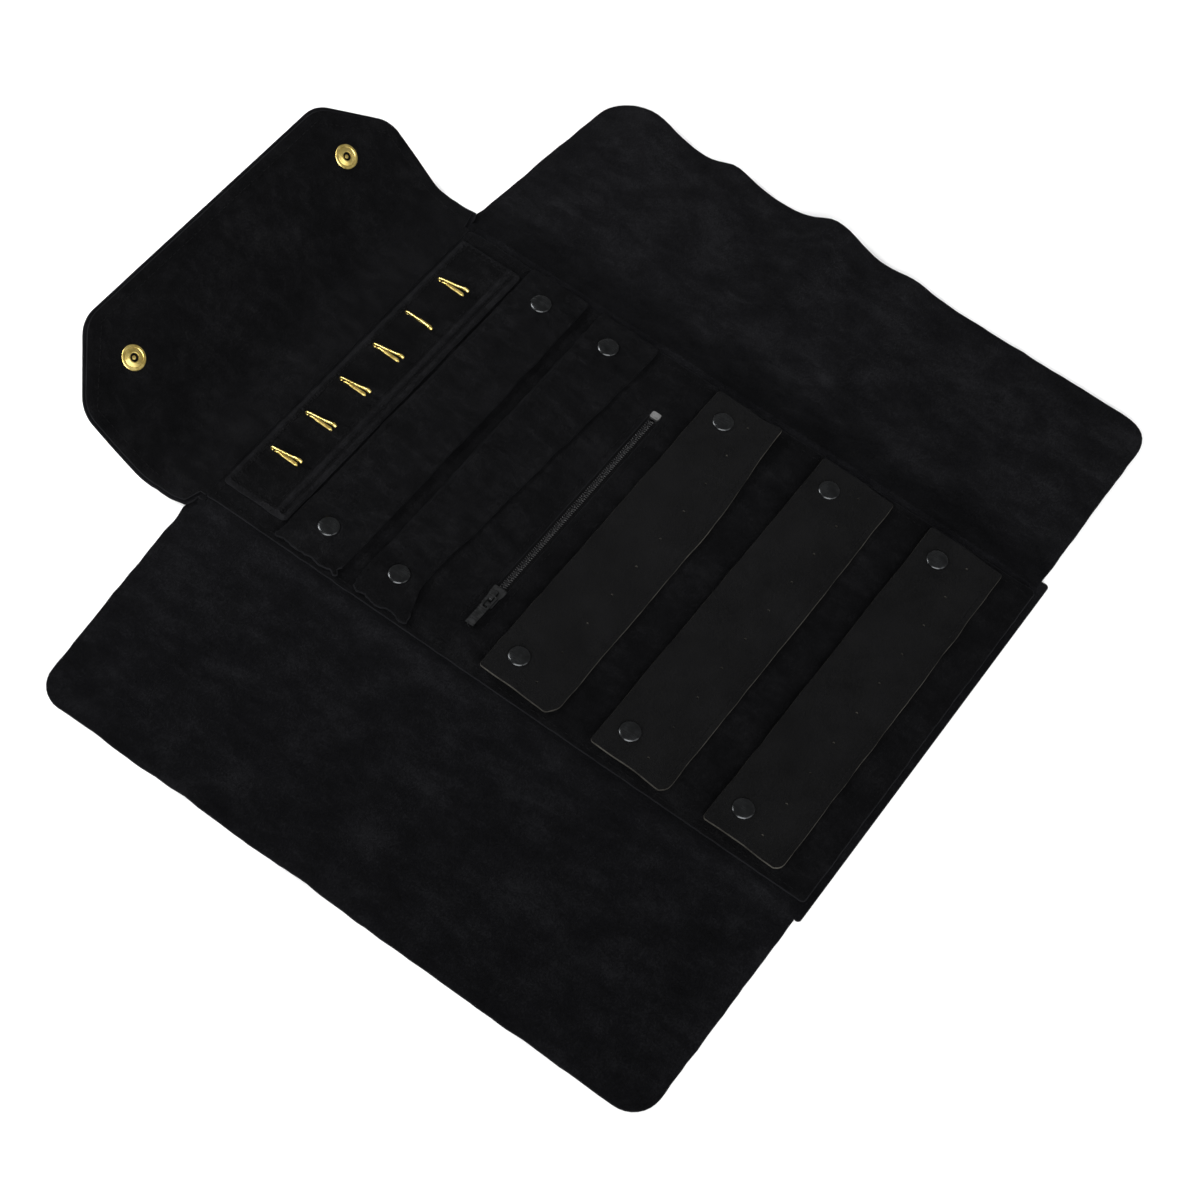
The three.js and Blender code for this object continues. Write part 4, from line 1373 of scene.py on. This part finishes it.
# snaps, with sizes and profiles (radius, height) in mm
snapLook = {
    "sides": 40, "studSides": 32, "brassSides": 48,
    "capTall": 1.1, "socketTall": 1.3, "socketRadius": 3.9,
    "recess": 2.3, "ball": 1.9,
    # shares of the cap's radius and height
    "dome": [(0.0, 1.0), (0.3, 0.985), (0.55, 0.93), (0.75, 0.82), (0.88, 0.66), (0.96, 0.45), (1.0, 0.22),
             (1.0, 0.08), (0.975, 0.0)],
}
upright = Vector((0, 0, 1))


def domeProfile(length, radius, look):
    top = length - look["capTall"]
    return [(radius * share, top + look["capTall"] * up) for share, up in look["dome"]], top


def addCap(node, body, look):
    base, length, radius = measured(node, upright)
    dome, top = domeProfile(length, radius, look)
    tall, socket, recess = look["socketTall"], look["socketRadius"], look["recess"]
    profile = dome + [
        (1.2, top), (1.2, tall), (socket - 0.3, tall), (socket, tall - 0.25), (socket, 0.25),
        (socket - 0.25, 0.05), (recess + 0.45, 0.0), (recess + 0.1, 0.12), (recess, 0.4), (recess + 0.2, 0.7),
        (recess, 1.0), (0.0, 1.0),
    ]
    cap = turnedPiece(node.replace("snap_cap", "cap"), profile, base, upright, look["sides"], gunmetal)
    seat(cap, body, "gunmetal", node)


def addStud(node, body, axis, material, slot, look):
    base, length, flange = measured(node, axis)
    ball = look["ball"]
    profile = [
        (0.0, length), (ball * 0.6, length - 0.02), (ball * 0.88, length - 0.14), (ball, length - 0.4),
        (ball * 0.93, length - 0.75), (ball * 0.85, length - 0.95), (flange - 0.2, length - 1.0),
        (flange, length - 1.1), (flange, length - 1.3), (1.2, length - 1.35), (1.2, 0.4),
        (flange - 0.15, 0.4), (flange, 0.28), (flange - 0.3, 0.0), (0.0, 0.0),
    ]
    name = node.replace("snap_stud", "stud").replace("closing_stud", "closing_post")
    stud = turnedPiece(name, profile, base, axis, look["studSides"], material)
    seat(stud, body, slot, node)


def addClosingSnap(side, look):
    # cap on the outer face, then the socket that shows on the inside
    node = f"closing_snap_{side}"
    tilt = neckTilt + endTilt
    outward = Vector((0, math.sin(tilt), -math.cos(tilt)))
    base, length, radius = measured(node, outward)
    dome, top = domeProfile(length, radius, look)
    tall = look["socketTall"]
    profile = dome + [
        (1.4, top), (1.4, tall), (radius - 0.2, tall), (radius, tall - 0.2), (radius, 0.75),
        (radius - 0.25, 0.5), (radius - 1.3, 0.42), (radius - 1.6, 0.62), (radius - 1.9, 0.45), (3.2, 0.3),
        (2.9, 0.05), (2.5, 0.0), (2.2, 0.12), (2.1, 0.5), (2.2, 0.95), (1.1, 1.0), (0.9, 0.6), (0.5, 0.5),
        (0.0, 0.5),
    ]
    snap = turnedPiece(f"closing_socket_{side}", profile, base, outward, look["brassSides"], brass)
    seat(snap, "closing_end", "brass", node)


for side in ("left", "right"):
    for number in (1, 2, 3):
        addCap(f"flap_{number}_snap_cap_{side}", f"earring_leaf_{number}", snapLook)
        panel = earringFlaps["panels"][number]
        addStud(f"flap_{number}_snap_stud_{side}", panel, upright, gunmetal, "gunmetal", snapLook)
    for number in (1, 2):
        capBody = "back_panel" if side == "right" else f"strap_{number}"
        addCap(f"strap_{number}_snap_cap_{side}", capBody, snapLook)
        addStud(f"strap_{number}_snap_stud_{side}", "back_panel", upright, gunmetal, "gunmetal", snapLook)
    addStud(f"closing_stud_{side}", "middle_panel", -upright, brass, "brass", snapLook)
    addClosingSnap(side, snapLook)
print("snaps made")


# studio: pale floor, a broad soft key and a low fill from the camera's side, a lamp on the floor behind
studio = {
    "floorHalf": 6.0,
    "floor": {"dark": (0.90, 0.90, 0.90), "light": (0.92, 0.92, 0.92), "stops": (0.3, 0.7), "clouds": 3.0,
              "rough": 0.7, "gloss": 0.1},
    "sky": 0.32, "key": {"from": (-0.76, -0.38, 0.53), "strength": 4.7, "spread": math.radians(56)},
    # place, point it faces, size, power and how far it spreads
    "lamps": {
        "low fill": ((-0.1, -1.5, 0.7), (0, 0, 0), 1.1, 6.0, math.radians(180)),
        "floor lamp": ((-0.22, 0.95, 0.62), (0.0, 0.33, 0), 0.5, 1.3, math.radians(42)),
    },
}


def setStudio(look):
    half = look["floorHalf"]
    mesh = bpy.data.meshes.new("floor")
    mesh.from_pydata(boxCorners(-half, -half, half, half), [], [(0, 1, 2, 3)])
    floor = bpy.data.objects.new("floor", mesh)
    scene.collection.objects.link(floor)
    pale = look["floor"]
    material, tree, shader, coords = startMaterial("pale floor", pale)
    feed(tree, shader, {"Base Color": toned(tree, cloudy(tree, coords, pale["clouds"]), pale)})
    mesh.materials.append(material)
    scene.world = bpy.data.worlds.new("studio")
    scene.world.use_nodes = True
    tree = scene.world.node_tree
    feed(tree, tree.nodes["Background"], {"Color": (1, 1, 1, 1), "Strength": look["sky"]})
    key = bpy.data.lights.new("broad key", "SUN")
    key.energy = look["key"]["strength"]
    key.angle = look["key"]["spread"]
    aimed = [(key, look["key"]["from"], (0, 0, 0))]
    for name, (place, target, size, power, spread) in look["lamps"].items():
        lamp = bpy.data.lights.new(name, "AREA")
        lamp.energy = power
        lamp.size = size
        lamp.spread = spread
        aimed.append((lamp, place, target))
    for light, place, target in aimed:
        holder = bpy.data.objects.new(light.name, light)
        holder.location = place
        holder.rotation_euler = (Vector(target) - Vector(place)).to_track_quat("-Z", "Y").to_euler()
        scene.collection.objects.link(holder)
    scene.view_settings.view_transform = "Standard"


setStudio(studio)
print("studio set")
